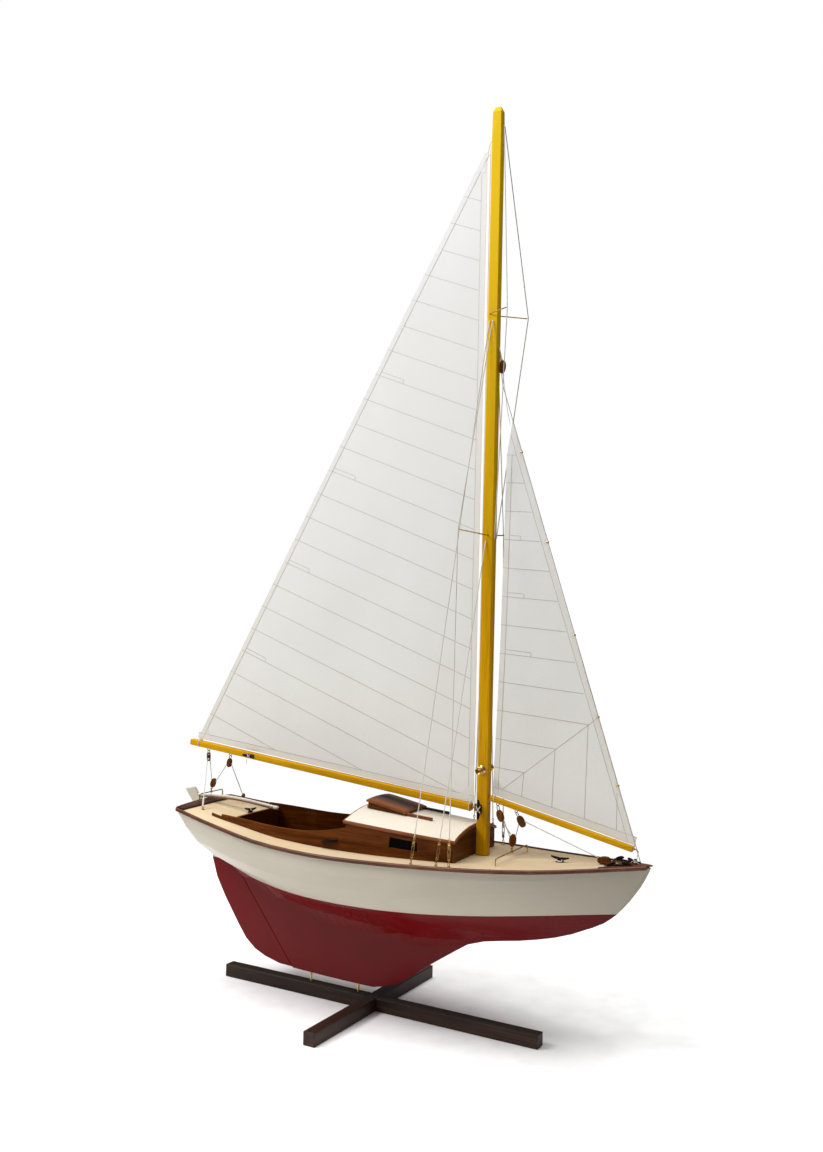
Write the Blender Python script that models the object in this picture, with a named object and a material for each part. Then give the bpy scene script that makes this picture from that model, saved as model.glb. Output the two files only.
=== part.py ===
"""Radio-controlled model sailboat on its wooden stand.

A long-keeled wooden yacht, about one tenth of a 7.7 m folk boat, with a
fractional rig on one pole mast.  Metres, +X to the bow, +Y to port, +Z up.
The origin lies under the stand, where its two beams cross.
"""

import math

import bmesh
import bpy
from mathutils import Matrix, Vector

for leftover in list(bpy.data.objects):
    bpy.data.objects.remove(leftover)

# ---------------------------------------------------------------- driving sizes
GAP = 0.0003                      # clearance between two touching pieces

# Stand: two square beams halved into each other, and two brass pins
BEAM = 0.019
LONG_BEAM_AFT = -0.272
LONG_BEAM_FORE = 0.269
CROSS_BEAM_HALF = 0.169
PIN_X = (-0.113, -0.027)
PIN_RADIUS = 0.0018
PIN_SINK = 0.011                  # depth of each pin in the beam and in the keel

# Lines of the hull: (x along the sheer, height or half width)
TRANSOM_X = -0.331
STEM_X = 0.418
SHEER = ((-0.331, 0.2680), (-0.220, 0.2545), (-0.120, 0.2437), (-0.030, 0.2415),
         (0.100, 0.2447), (0.250, 0.2509), (0.418, 0.2662))
HALF_BEAM = ((-0.331, 0.0690), (-0.250, 0.0885), (-0.160, 0.1035), (-0.040, 0.1110),
             (0.060, 0.1070), (0.160, 0.0935), (0.265, 0.0675), (0.360, 0.0305),
             (0.418, 0.0030))
# Keel line: the foot of each station, which leans aft with the sternpost
KEEL_X = ((-0.331, -0.1440), (-0.200, -0.0800), (-0.080, -0.0300), (0.020, 0.0140),
          (0.070, 0.0617), (0.130, 0.1268), (0.190, 0.1896), (0.300, 0.3000),
          (0.418, 0.4170))
KEEL_Z = ((-0.331, 0.0350), (-0.200, 0.0350), (-0.080, 0.0350), (0.000, 0.0352),
          (0.045, 0.0428), (0.070, 0.0578), (0.105, 0.0850), (0.130, 0.1029),
          (0.152, 0.1199), (0.190, 0.1344), (0.245, 0.1445), (0.295, 0.1571),
          (0.340, 0.1760), (0.375, 0.1992), (0.396, 0.2228), (0.410, 0.2460),
          (0.418, 0.2640))
CANOE_Z = ((-0.331, 0.1760), (-0.220, 0.1480), (-0.080, 0.1300), (0.060, 0.1260),
           (0.190, 0.1330), (0.295, 0.1550), (0.375, 0.1980), (0.418, 0.2630))
FULLNESS = ((-0.331, 3.0), (-0.080, 2.6), (0.100, 2.3), (0.250, 1.7), (0.418, 1.2))
KEEL_HALF = ((-0.331, 0.0045), (-0.150, 0.0090), (0.000, 0.0100), (0.130, 0.0070),
             (0.300, 0.0030), (0.418, 0.0025))
GARBOARD = 0.07                   # softness of the turn from bilge to keel
STATIONS = 30
SECTION_STEPS = 12
WALL = 0.004
BALLAST = (0.108, 0.0104, 0.052)  # weight in a well that is open to the hull's inside
BALLAST_AT = (-0.045, 0.0, 0.0975)

# Deck, rails and transom cap
DECK = 0.0018
CROWN = ((-0.331, 0.0034), (-0.240, 0.0050), (-0.150, 0.0048), (0.100, 0.0026),
         (0.250, 0.0014), (0.418, 0.0004))
DECK_LINES = 28
RAIL_WIDTH = 0.0035
RAIL_HEIGHT = 0.0056
RAIL_PROUD = 0.0020                # height of the rail above the deck's edge
CAP_INNER = -0.311
CAP_HEIGHT = 0.0026

# Coaming and cabin: one plank each side carries on into the cabin side
COAMING = 0.0024
COAMING_TIP = -0.268
COAMING_NOTCH = -0.246
CABIN_AFT = -0.008
CABIN_FORE = 0.160
COAMING_PLAN = ((-0.268, 0.0590), (-0.245, 0.0632), (-0.200, 0.0672), (-0.130, 0.0725),
                (-0.050, 0.0752), (0.020, 0.0748), (0.100, 0.0710), (0.160, 0.0648))
COAMING_TOP = ((-0.246, 0.2703), (-0.206, 0.2690), (-0.126, 0.2655), (-0.0885, 0.2662),
               (-0.0525, 0.2700), (-0.0265, 0.2757), (-0.008, 0.2800))
CABIN_TOP = ((-0.008, 0.2880), (0.160, 0.2782))
COAMING_FOOT = 0.236              # foot of the plank inside the cabin
TIP_HEIGHT = 0.0040
WINDOW = ((0.0644, 0.2756), (0.1073, 0.2729), (0.1077, 0.2597), (0.0631, 0.2607))
AFT_COAMING_X = -0.2300
AFT_COAMING_TOP = 0.2655
SOLE_Z = 0.202
SOLE = 0.002
COCKPIT_FOOT = SOLE_Z + SOLE / 2.0 + GAP
DOOR_HALF = 0.024
DOOR_SILL = 0.232
BULKHEAD_X = CABIN_AFT + 0.0035
ROOF = 0.0030
ROOF_EAVE = 0.0025
ROOF_CROWN = 0.0135
ROOF_CLEAR = 0.0012

# Sliding hatch and its two runners
HATCH_AFT = -0.001
HATCH_FORE = 0.0660
HATCH_HALF = 0.0320
HATCH_RISE = (0.0133, 0.0056)     # top of the lid over the crown of the roof, aft and fore
RUNNER_HEIGHT = 0.0036
RUNNER_FORE = 0.108
RUNNER_Y = 0.0275

# Mast and standing rigging
MAST_X = 0.1752
MAST_LENGTHWISE = 0.0170
MAST_ACROSS = 0.0124
MAST_FOOT = 0.2522
MAST_TOP = 1.3190
UPPER_HOLE = 1.0115
LOWER_HOLE = 0.6972
STRUT_X = 0.1713
STRUT_Z = 1.0215
SPREADER_X = 0.1751
SPREADER_Z = 0.7051
MAST_BORE = 0.0013
SPREADER_TIP = (0.1641, 0.0740, 0.7095)
STRUT_TIP = (0.2105, 0.0362, 1.0195)
SHROUD_RADIUS = 0.0006
WIRE_RADIUS = 0.0009
CHAIN_X = {"aft": 0.1125, "mid": 0.1485, "fore": 0.1668}
CHAIN_IN = 0.0045                 # chain plates stand inside the deck edge
CHAIN_LIFT = 0.0009               # lets the tilted foot of a turnbuckle clear the deck
TURNBUCKLE = 0.038
BARREL_RADIUS = 0.0021
WINCH_Z = 0.3730

# Booms and sails
SWING_X = 0.1618
BOOM_FORE = (0.1565, 0.3172)
BOOM_AFT = (-0.3620, 0.3668)
BOOM_SIZE = (0.0108, 0.0094)      # height at the mast and at the sheet
BOOM_WIDTH = 0.0100
SAIL = 0.0012
LUFF_X = 0.1590
MAIN_HEAD = 1.2577
MAIN_CLEW = (-0.3480, 0.3735)
STAY_FOOT = (0.4068, 0.2694)
STAY_HEAD = (0.1906, 0.9190)
JIB_HEAD = 0.8660
JIB_CLEW = (0.1893, 0.3388)
JIB_LEECH_TOP = (0.1995, 0.8190)
JIB_BOOM_AFT = (0.1856, 0.3335)
JIB_BOOM_FORE = (0.3955, 0.2883)
JIB_BOOM_SIZE = 0.0076

# Sheets, horses and blocks
MAIN_HORSE = (-0.3185, 0.0290, 0.2885)
JIB_HORSE = (0.2205, 0.0535, 0.2620)
SHEET_EYE = (-0.2970, -0.0460)
SHEET_LEAD = (-0.2950, 0.0540)
SHEET_RADIUS = 0.0006
BLOCK = (0.0042, 0.0098, 0.0160)  # thickness, width and height of a block
BLOCK_DROP = 0.0035               # top of a boom's block below the boom
BLOCK_RISE = 0.0225               # top of a travelling block above its horse
MAIN_BLOCKS = (-0.3255, -0.2805)
JIB_BLOCKS = (0.2015, 0.2335)
COCKPIT_CLEAT = (AFT_COAMING_X - 0.0075, 0.0180, 0.90)   # place, length and turn
FOREDECK_CLEAT = (0.2925, 0.0250, 0.0)
CHOCK_X = 0.3800

# Rudder: hung on the sternpost, which carries on up past the transom
RUDDER_FOOT = (-0.1440, 0.0350)
RUDDER_HEAD = (-0.3520, 0.2942)
RUDDER_THICK = 0.0060
RUDDER_BLADE = ((-0.1725, 0.0362), (-0.2000, 0.0425), (-0.2200, 0.0505), (-0.2380, 0.0640),
                (-0.2540, 0.0840), (-0.2825, 0.1240), (-0.3000, 0.1530), (-0.3105, 0.1830),
                (-0.3160, 0.2080), (-0.3320, 0.2400), (-0.3720, 0.2889))
TILLER_LINE = ((-0.348, 0.2802), (-0.317, 0.2818), (-0.259, 0.2826), (-0.219, 0.2795), (-0.184, 0.2765))
TILLER_DEEP = (0.0062, 0.0054)
TILLER_WIDE = 0.0040

# Radio gear under the cockpit sole
TRAY = (-0.125, 0.060, 0.070, 0.0015)
TRAY_Z = 0.166
BATTERY = (0.050, 0.030, 0.0155)
BATTERY_AT = (0.060, 0.0, 0.1560)
RECEIVER = (0.030, 0.020, 0.0120)
SERVO = (0.036, 0.0185, 0.0230)
SERVO_Y = -0.018


# ---------------------------------------------------------------- helpers
def curve_through(points):
    """Smooth function of x through hand-set points, with no overshoot."""
    xs = [p[0] for p in points]
    ys = [p[1] for p in points]
    slopes = [(ys[i + 1] - ys[i]) / (xs[i + 1] - xs[i]) for i in range(len(xs) - 1)]
    tangents = [slopes[0]]
    for before, after in zip(slopes, slopes[1:]):
        same_way = before * after > 0.0
        tangents.append(2.0 * before * after / (before + after) if same_way else 0.0)
    tangents.append(slopes[-1])

    def value(x):
        x = min(max(x, xs[0]), xs[-1])
        i = 0
        while i < len(xs) - 2 and x > xs[i + 1]:
            i += 1
        step = xs[i + 1] - xs[i]
        t = (x - xs[i]) / step
        start = (1.0 + 2.0 * t) * (1.0 - t) ** 2 * ys[i] + t * (1.0 - t) ** 2 * step * tangents[i]
        end = t * t * (3.0 - 2.0 * t) * ys[i + 1] - t * t * (1.0 - t) * step * tangents[i + 1]
        return start + end

    return value


def material(name, colour, roughness, metallic=0.0):
    """Principled material with a plain colour."""
    made = bpy.data.materials.new(name)
    made.use_nodes = True
    shader = made.node_tree.nodes["Principled BSDF"]
    shader.inputs["Base Color"].default_value = (*colour, 1.0)
    shader.inputs["Roughness"].default_value = roughness
    shader.inputs["Metallic"].default_value = metallic
    return made


def add_mesh(name, bm, mat, smooth_angle=None):
    """Object from a bmesh, faces turned outwards."""
    bmesh.ops.recalc_face_normals(bm, faces=bm.faces)
    mesh = bpy.data.meshes.new(name)
    bm.to_mesh(mesh)
    bm.free()
    mesh.materials.append(mat)
    if smooth_angle is not None:
        mesh.shade_smooth()
        mesh.set_sharp_from_angle(angle=math.radians(smooth_angle))
    obj = bpy.data.objects.new(name, mesh)
    bpy.context.scene.collection.objects.link(obj)
    return obj


def box_mesh(size, centre=(0.0, 0.0, 0.0)):
    """Bmesh box of a given size about a centre."""
    bm = bmesh.new()
    bmesh.ops.create_cube(bm, size=1.0)
    bmesh.ops.scale(bm, vec=size, verts=bm.verts)
    bmesh.ops.translate(bm, vec=centre, verts=bm.verts)
    return bm


def add_box(name, size, centre, mat, bevel=0.0, turn=None):
    """Box with bevelled edges, turned about its own centre."""
    obj = add_mesh(name, box_mesh(size), mat)
    obj.location = centre
    if turn is not None:
        obj.rotation_euler = turn
    if bevel:
        edge = obj.modifiers.new("Bevel", "BEVEL")
        edge.width = bevel
        edge.segments = 1
    return obj


def add_prism(name, outline, thickness, mat, plane="XZ", offset=0.0, bevel=0.0):
    """Outline in a plane, extruded evenly to both sides of it."""
    bm = bmesh.new()
    place = {"XZ": lambda a, b, c: (a, c, b), "XY": lambda a, b, c: (a, b, c),
             "YZ": lambda a, b, c: (c, a, b)}[plane]
    low = [bm.verts.new(place(a, b, offset - thickness / 2.0)) for a, b in outline]
    high = [bm.verts.new(place(a, b, offset + thickness / 2.0)) for a, b in outline]
    bm.faces.new(low)
    bm.faces.new(high)
    for i in range(len(outline)):
        j = (i + 1) % len(outline)
        bm.faces.new((low[i], low[j], high[j], high[i]))
    obj = add_mesh(name, bm, mat)
    if bevel:
        edge = obj.modifiers.new("Bevel", "BEVEL")
        edge.width = bevel
        edge.segments = 1
        edge.limit_method = "ANGLE"
        edge.angle_limit = math.radians(50.0)
    return obj


def loft_rings(name, rings, mat, smooth_angle=None):
    """Skin between closed rings of equal length, capped at both ends."""
    bm = bmesh.new()
    rows = [[bm.verts.new(p) for p in ring] for ring in rings]
    count = len(rows[0])
    for low, high in zip(rows, rows[1:]):
        for i in range(count):
            j = (i + 1) % count
            bm.faces.new((low[i], low[j], high[j], high[i]))
    bm.faces.new(rows[0])
    bm.faces.new(rows[-1])
    return add_mesh(name, bm, mat, smooth_angle)


def frame_along(direction):
    """Rotation that takes +Z to a direction."""
    return Vector(direction).normalized().to_track_quat("Z", "Y").to_matrix().to_4x4()


def add_turned(name, profile, origin, direction, mat, sides=12):
    """Solid of revolution: profile of (radius, distance along the axis)."""
    turn = Matrix.Translation(origin) @ frame_along(direction)
    rings = []
    for radius, along in profile:
        ring = []
        for k in range(sides):
            angle = 2.0 * math.pi * k / sides
            ring.append(turn @ Vector((radius * math.cos(angle), radius * math.sin(angle), along)))
        rings.append(ring)
    return loft_rings(name, rings, mat, 40.0)


def add_wire(name, points, radius, mat, sides_half=2):
    """Round wire or cord through points, with filled ends."""
    curve = bpy.data.curves.new(name, "CURVE")
    curve.dimensions = "3D"
    curve.bevel_depth = radius
    curve.bevel_resolution = sides_half
    curve.use_fill_caps = True
    spline = curve.splines.new("POLY")
    spline.points.add(len(points) - 1)
    for point, place in zip(spline.points, points):
        point.co = (*place, 1.0)
    curve.materials.append(mat)
    obj = bpy.data.objects.new(name, curve)
    bpy.context.scene.collection.objects.link(obj)
    return obj


def combine(obj, cutter, operation):
    """Boolean of an object with a guide that is left out of the model."""
    cutter.hide_render = True
    cutter.display_type = "WIRE"
    step = obj.modifiers.new(operation.title(), "BOOLEAN")
    step.operation = operation
    step.solver = "EXACT"
    step.object = cutter
    return obj


def put_under(empty_name, origin, children):
    """Parent empty on a joint's axis, which leaves its children in place."""
    empty = bpy.data.objects.new(empty_name, None)
    empty.location = origin
    bpy.context.scene.collection.objects.link(empty)
    for child in children:
        child.parent = empty
        child.matrix_parent_inverse = Matrix.Translation(origin).inverted()
    return empty


def between(a, b, t):
    """Point at a fraction of the way from a to b."""
    return tuple(p + (q - p) * t for p, q in zip(a, b))


# ---------------------------------------------------------------- materials
STAND_WOOD = material("stand_dark_wood", (0.035, 0.018, 0.010), 0.45)
BRASS = material("brass", (0.62, 0.44, 0.16), 0.32, 1.0)
HULL_PAINT = material("hull_paint", (0.76, 0.72, 0.63), 0.25)
LEAD = material("lead", (0.16, 0.16, 0.17), 0.60, 0.8)
DECK_WOOD = material("deck_cream_wood", (0.78, 0.60, 0.36), 0.40)
RAIL_WOOD = material("rail_brown_wood", (0.14, 0.045, 0.020), 0.40)
MAHOGANY = material("mahogany", (0.17, 0.045, 0.010), 0.30)
ROOF_PAINT = material("roof_white_paint", (0.84, 0.80, 0.73), 0.35)
DARK_WOOD = material("dark_wood", (0.030, 0.010, 0.006), 0.45)
SPAR_PAINT = material("spar_yellow_varnish", (0.78, 0.50, 0.00), 0.30)
SAIL_CLOTH = material("sail_cloth", (0.76, 0.75, 0.71), 0.80)
CORD = material("cord_off_white", (0.74, 0.72, 0.66), 0.75)
BLOCK_WOOD = material("block_wood", (0.14, 0.045, 0.010), 0.35)
RUDDER_PAINT = material("rudder_paint", (0.30, 0.012, 0.014), 0.30)
TILLER_WOOD = material("tiller_pale_wood", (0.62, 0.50, 0.34), 0.40)
BLACK_PLASTIC = material("black_plastic", (0.02, 0.02, 0.022), 0.50)
PLYWOOD = material("plywood", (0.55, 0.38, 0.20), 0.60)
GREY_PLASTIC = material("grey_plastic", (0.20, 0.21, 0.23), 0.50)

sheer = curve_through(SHEER)
half_beam = curve_through(HALF_BEAM)
crown = curve_through(CROWN)
keel_x = curve_through(KEEL_X)
keel_z = curve_through(KEEL_Z)
canoe_z = curve_through(CANOE_Z)
fullness = curve_through(FULLNESS)
keel_half = curve_through(KEEL_HALF)
coaming_y = curve_through(COAMING_PLAN)
coaming_top = curve_through(COAMING_TOP)
cabin_top = curve_through(CABIN_TOP)


def deck_z(x, y):
    """Height of the underside of the deck."""
    across = min(abs(y) / half_beam(x), 1.0)
    return sheer(x) + crown(x) * (1.0 - across * across)


def deck_top(x, y):
    """Height of the walked side of the deck."""
    return deck_z(x, y) + GAP + DECK


def roof_z(x, y):
    """Height of the underside of the cabin roof."""
    across = y / coaming_y(x)
    return cabin_top(x) + ROOF_CROWN * (1.0 - across * across)


def under_roof(x, y):
    """Top of an end wall that stands just clear of the roof's flat panels."""
    return roof_z(x, y) - ROOF_CLEAR


# ---------------------------------------------------------------- stand
def build_stand():
    length = LONG_BEAM_FORE - LONG_BEAM_AFT
    middle = (LONG_BEAM_FORE + LONG_BEAM_AFT) / 2.0
    lap = BEAM + 2.0 * GAP
    long_beam = add_box("stand_beam_long", (length, BEAM, BEAM), (middle, 0.0, BEAM / 2.0),
                        STAND_WOOD, 0.0006)
    long_notch = add_mesh("lap_cutter_long", box_mesh((lap, 2.0 * BEAM, BEAM), (0.0, 0.0, BEAM)),
                          STAND_WOOD)
    combine(long_beam, long_notch, "DIFFERENCE")
    cross_beam = add_box("stand_beam_cross", (BEAM, 2.0 * CROSS_BEAM_HALF, BEAM),
                         (0.0, 0.0, BEAM / 2.0), STAND_WOOD, 0.0006)
    cross_notch = add_mesh("lap_cutter_cross",
                           box_mesh((2.0 * BEAM, lap, BEAM), (0.0, 0.0, GAP)), STAND_WOOD)
    combine(cross_beam, cross_notch, "DIFFERENCE")
    keel_foot = KEEL_Z[0][1]
    for label, x in zip(("aft", "fore"), PIN_X):
        add_turned("stand_pin_" + label,
                   ((PIN_RADIUS, BEAM - PIN_SINK),
                    (PIN_RADIUS, keel_foot + PIN_SINK - 0.0012),
                    (PIN_RADIUS * 0.6, keel_foot + PIN_SINK)),
                   (x, 0.0, 0.0), (0, 0, 1), BRASS)
        hole = add_turned("pin_hole_beam_" + label,
                          ((PIN_RADIUS + GAP, BEAM - PIN_SINK - GAP), (PIN_RADIUS + GAP, BEAM * 2.0)),
                          (x, 0.0, 0.0), (0, 0, 1), BRASS)
        combine(long_beam, hole, "DIFFERENCE")


# ---------------------------------------------------------------- hull
def section(s, lower_z, wall):
    """Half section at sheer station s, from the sheer down to lower_z."""
    top = sheer(s)
    beam = half_beam(s) - wall
    core = max(keel_half(s) - wall, 0.0012)
    belly = canoe_z(s) + wall
    points = []
    for step in range(SECTION_STEPS + 1):
        down = (step / SECTION_STEPS) ** 0.9
        z = top + (lower_z - top) * down
        depth = (top - z) / (top - belly)
        swell = 1.0 - depth ** fullness(s)
        soft = GARBOARD * math.log1p(math.exp(swell / GARBOARD))
        full = GARBOARD * math.log1p(math.exp(1.0 / GARBOARD))
        points.append((core + (beam - core) * soft / full, z))
    return points


def hull_ring(s, x_foot, z_foot, wall):
    """Points of a whole section: starboard sheer, keel, port sheer."""
    half = section(s, z_foot, wall)
    top = sheer(s)

    def lean(z):
        return s + (x_foot - s) * (top - z) / (top - z_foot)

    starboard = [(lean(z), -y, z) for y, z in half]
    port = [(lean(z), y, z) for y, z in reversed(half)]
    return starboard + port


def build_hull():
    """One open shell with a solid keel below its floor."""
    outer, inner = [], []
    for i in range(STATIONS):
        t = i / (STATIONS - 1)
        s = TRANSOM_X + (STEM_X - TRANSOM_X) * t
        outer.append(hull_ring(s, keel_x(s), keel_z(s), 0.0))
        s_in = (TRANSOM_X + 0.006) + (STEM_X - TRANSOM_X - 0.034) * t
        floor = canoe_z(s_in) + WALL
        lean = (keel_x(s_in) - s_in) / (sheer(s_in) - keel_z(s_in))
        inner.append(hull_ring(s_in, s_in + lean * (sheer(s_in) - floor), floor, WALL))
    bm = bmesh.new()
    skins = []
    for rings in (outer, inner):
        rows = [[bm.verts.new(p) for p in ring] for ring in rings]
        for near, far in zip(rows, rows[1:]):
            for j in range(len(near) - 1):
                bm.faces.new((near[j], near[j + 1], far[j + 1], far[j]))
        for row in (rows[0], rows[-1]):
            last = len(row) - 1
            for j in range(len(row) // 2 - 1):
                bm.faces.new((row[j], row[j + 1], row[last - j - 1], row[last - j]))
        skins.append(rows)
    out_rows, in_rows = skins
    for edge in (0, -1):
        for i in range(STATIONS - 1):
            bm.faces.new((out_rows[i][edge], out_rows[i + 1][edge],
                          in_rows[i + 1][edge], in_rows[i][edge]))
    for end in (0, -1):
        bm.faces.new((out_rows[end][0], out_rows[end][-1], in_rows[end][-1], in_rows[end][0]))
    hull = add_mesh("hull_shell", bm, HULL_PAINT, 35.0)
    length, width, height = BALLAST
    well_size = (length + 0.002, width + 0.0012, height + 0.028)
    well_z = BALLAST_AT[2] + 0.0125
    well = add_mesh("ballast_well_cutter", box_mesh(well_size, (BALLAST_AT[0], 0.0, well_z)), LEAD)
    combine(hull, well, "DIFFERENCE")
    keel_foot = KEEL_Z[0][1]
    for label, x in zip(("aft", "fore"), PIN_X):
        hole = add_turned("pin_hole_keel_" + label,
                          ((PIN_RADIUS + GAP, keel_foot - PIN_SINK),
                           (PIN_RADIUS + GAP, keel_foot + PIN_SINK + GAP)),
                          (x, 0.0, 0.0), (0, 0, 1), BRASS)
        combine(hull, hole, "DIFFERENCE")
    add_box("ballast_weight", BALLAST, BALLAST_AT, LEAD, 0.001)


# ---------------------------------------------------------------- deck
def well_stations():
    """Lines across the planks between the cockpit end and the cabin front."""
    count = 17
    start, end = AFT_COAMING_X + 2.0 * GAP, CABIN_FORE - GAP
    evenly = [start + (end - start) * i / (count - 1) for i in range(count)]
    return sorted(evenly + [CABIN_AFT - GAP, CABIN_AFT + GAP])


def build_deck():
    """Crowned plate with the cockpit and cabin well cut out."""
    bm = bmesh.new()
    across = 8
    layers = []
    start, end = TRANSOM_X + 0.0005, STEM_X - 0.004
    for rise in (GAP, GAP + DECK):
        rows = []
        for i in range(DECK_LINES):
            x = start + (end - start) * i / (DECK_LINES - 1)
            half = half_beam(x) - 0.0004
            row = []
            for j in range(across + 1):
                y = half * (2.0 * j / across - 1.0)
                row.append(bm.verts.new((x, y, deck_z(x, y) + rise)))
            rows.append(row)
        layers.append(rows)
    for rows in layers:
        for near, far in zip(rows, rows[1:]):
            for j in range(across):
                bm.faces.new((near[j], near[j + 1], far[j + 1], far[j]))
    low, high = layers
    for i in range(DECK_LINES - 1):
        for j in (0, across):
            bm.faces.new((low[i][j], low[i + 1][j], high[i + 1][j], high[i][j]))
    for i in (0, DECK_LINES - 1):
        for j in range(across):
            bm.faces.new((low[i][j], low[i][j + 1], high[i][j + 1], high[i][j]))
    deck = add_mesh("deck", bm, DECK_WOOD)
    outline = [(x, coaming_y(x) - COAMING * 0.5 + GAP)
               for x in [AFT_COAMING_X] + well_stations() + [CABIN_FORE]]
    outline = outline + [(x, -y) for x, y in reversed(outline)]
    well = add_prism("deck_well_cutter", outline, 0.2, DECK_WOOD, "XY", 0.25)
    combine(deck, well, "DIFFERENCE")


def build_rails():
    """Rubbing rail along each deck edge, and the cap on the transom."""
    lines = 22
    for side, label in ((-1, "starboard"), (1, "port")):
        rings = []
        for i in range(lines):
            x = TRANSOM_X + 0.001 + (STEM_X - TRANSOM_X - 0.003) * i / (lines - 1)
            inner = half_beam(x) + GAP
            outer = inner + RAIL_WIDTH
            high = sheer(x) + GAP + DECK + RAIL_PROUD
            low = high - RAIL_HEIGHT
            soft = RAIL_WIDTH * 0.35
            profile = ((inner, low), (outer - soft, low), (outer, low + soft),
                       (outer, high - soft), (outer - soft, high), (inner, high))
            rings.append([(x, side * y, z) for y, z in profile])
        loft_rings("rail_" + label, rings, RAIL_WOOD, 30.0)
    rings = []
    steps = 10
    half = half_beam(TRANSOM_X) + 0.0002
    for i in range(steps + 1):
        y = half * (2.0 * i / steps - 1.0)
        inner = CAP_INNER - 0.006 * (y / half) ** 2
        base = deck_top(TRANSOM_X, y) + GAP
        rise = (deck_top(inner, y) - deck_top(TRANSOM_X, y))
        rings.append([(TRANSOM_X - 0.001, y, base), (inner, y, base + rise),
                      (inner, y, base + rise + CAP_HEIGHT), (TRANSOM_X - 0.001, y, base + CAP_HEIGHT)])
    loft_rings("transom_cap", rings, RAIL_WOOD)


# ---------------------------------------------------------------- coaming and cabin
def build_coamings():
    """Long planks round the cockpit that carry on as the cabin sides."""
    for side, label in ((-1, "starboard"), (1, "port")):
        rings = []
        on_deck = [COAMING_TIP, -0.258, COAMING_NOTCH, COAMING_NOTCH + 0.0015, AFT_COAMING_X + GAP]
        for x in on_deck + well_stations():
            outer = coaming_y(x)
            inner = outer - COAMING
            tongue = inner + COAMING * 0.5
            level = deck_top(x, outer) + GAP
            if x in on_deck:
                foot = level
            else:
                foot = COCKPIT_FOOT if x < CABIN_AFT else COAMING_FOOT
            if x <= COAMING_NOTCH:
                top = level + TIP_HEIGHT
            elif x <= CABIN_AFT:
                top = coaming_top(x)
            else:
                top = cabin_top(x) - GAP
            step = outer - GAP if x in on_deck else tongue
            ring = ((inner, foot), (tongue, foot), (step, level), (outer, level), (outer, top), (inner, top))
            rings.append([(x, side * y, z) for y, z in ring])
        plank = loft_rings("coaming_" + label, rings, MAHOGANY, 30.0)
        window = add_prism("window_cutter_" + label, WINDOW, 10.0 * COAMING, MAHOGANY,
                           offset=side * coaming_y(WINDOW[0][0]))
        combine(plank, window, "DIFFERENCE")


def build_cabin():
    """Cockpit end, cockpit sole, bulkhead, cabin front and roof."""
    aft_x = AFT_COAMING_X + COAMING
    half = coaming_y(AFT_COAMING_X) - COAMING - 0.0015
    ends_top = AFT_COAMING_TOP - 0.0012
    add_prism("cockpit_aft_coaming",
              [(-half, COCKPIT_FOOT), (half, COCKPIT_FOOT), (half, ends_top), (half * 0.5, AFT_COAMING_TOP),
               (-half * 0.5, AFT_COAMING_TOP), (-half, ends_top)],
              COAMING, MAHOGANY, "YZ", aft_x)
    sole_aft = aft_x + COAMING / 2.0 + GAP
    sole_fore = BULKHEAD_X - COAMING / 2.0 - GAP
    sole = []
    for i in range(9):
        x = sole_aft + (sole_fore - sole_aft) * i / 8
        sole.append((x, coaming_y(x) - COAMING - 2.0 * GAP))
    sole = sole + [(x, -y) for x, y in reversed(sole)]
    add_prism("cockpit_sole", sole, SOLE, DECK_WOOD, "XY", SOLE_Z)
    inside = coaming_y(CABIN_AFT) - COAMING - 0.001
    arch = [(y, under_roof(BULKHEAD_X + COAMING / 2.0, y)) for y in (0.9 * inside, 0.6 * inside, DOOR_HALF)]
    right = [(inside, COCKPIT_FOOT), (inside, under_roof(CABIN_AFT, inside)), *arch, (DOOR_HALF, DOOR_SILL)]
    add_prism("cabin_bulkhead", right + [(-y, z) for y, z in reversed(right)],
              COAMING, MAHOGANY, "YZ", BULKHEAD_X)
    front_half = coaming_y(CABIN_FORE)
    shares = (1.0, 0.66, 0.33, 0.0, -0.33, -0.66, -1.0)
    crown_line = [(front_half * f, under_roof(CABIN_FORE + COAMING, front_half * f)) for f in shares]
    foot_line = [(front_half * f, deck_top(CABIN_FORE, front_half * f) + 2.0 * GAP) for f in reversed(shares)]
    add_prism("cabin_front", crown_line + foot_line, COAMING, MAHOGANY, "YZ",
              CABIN_FORE + GAP + COAMING / 2.0)
    build_roof()


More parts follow.
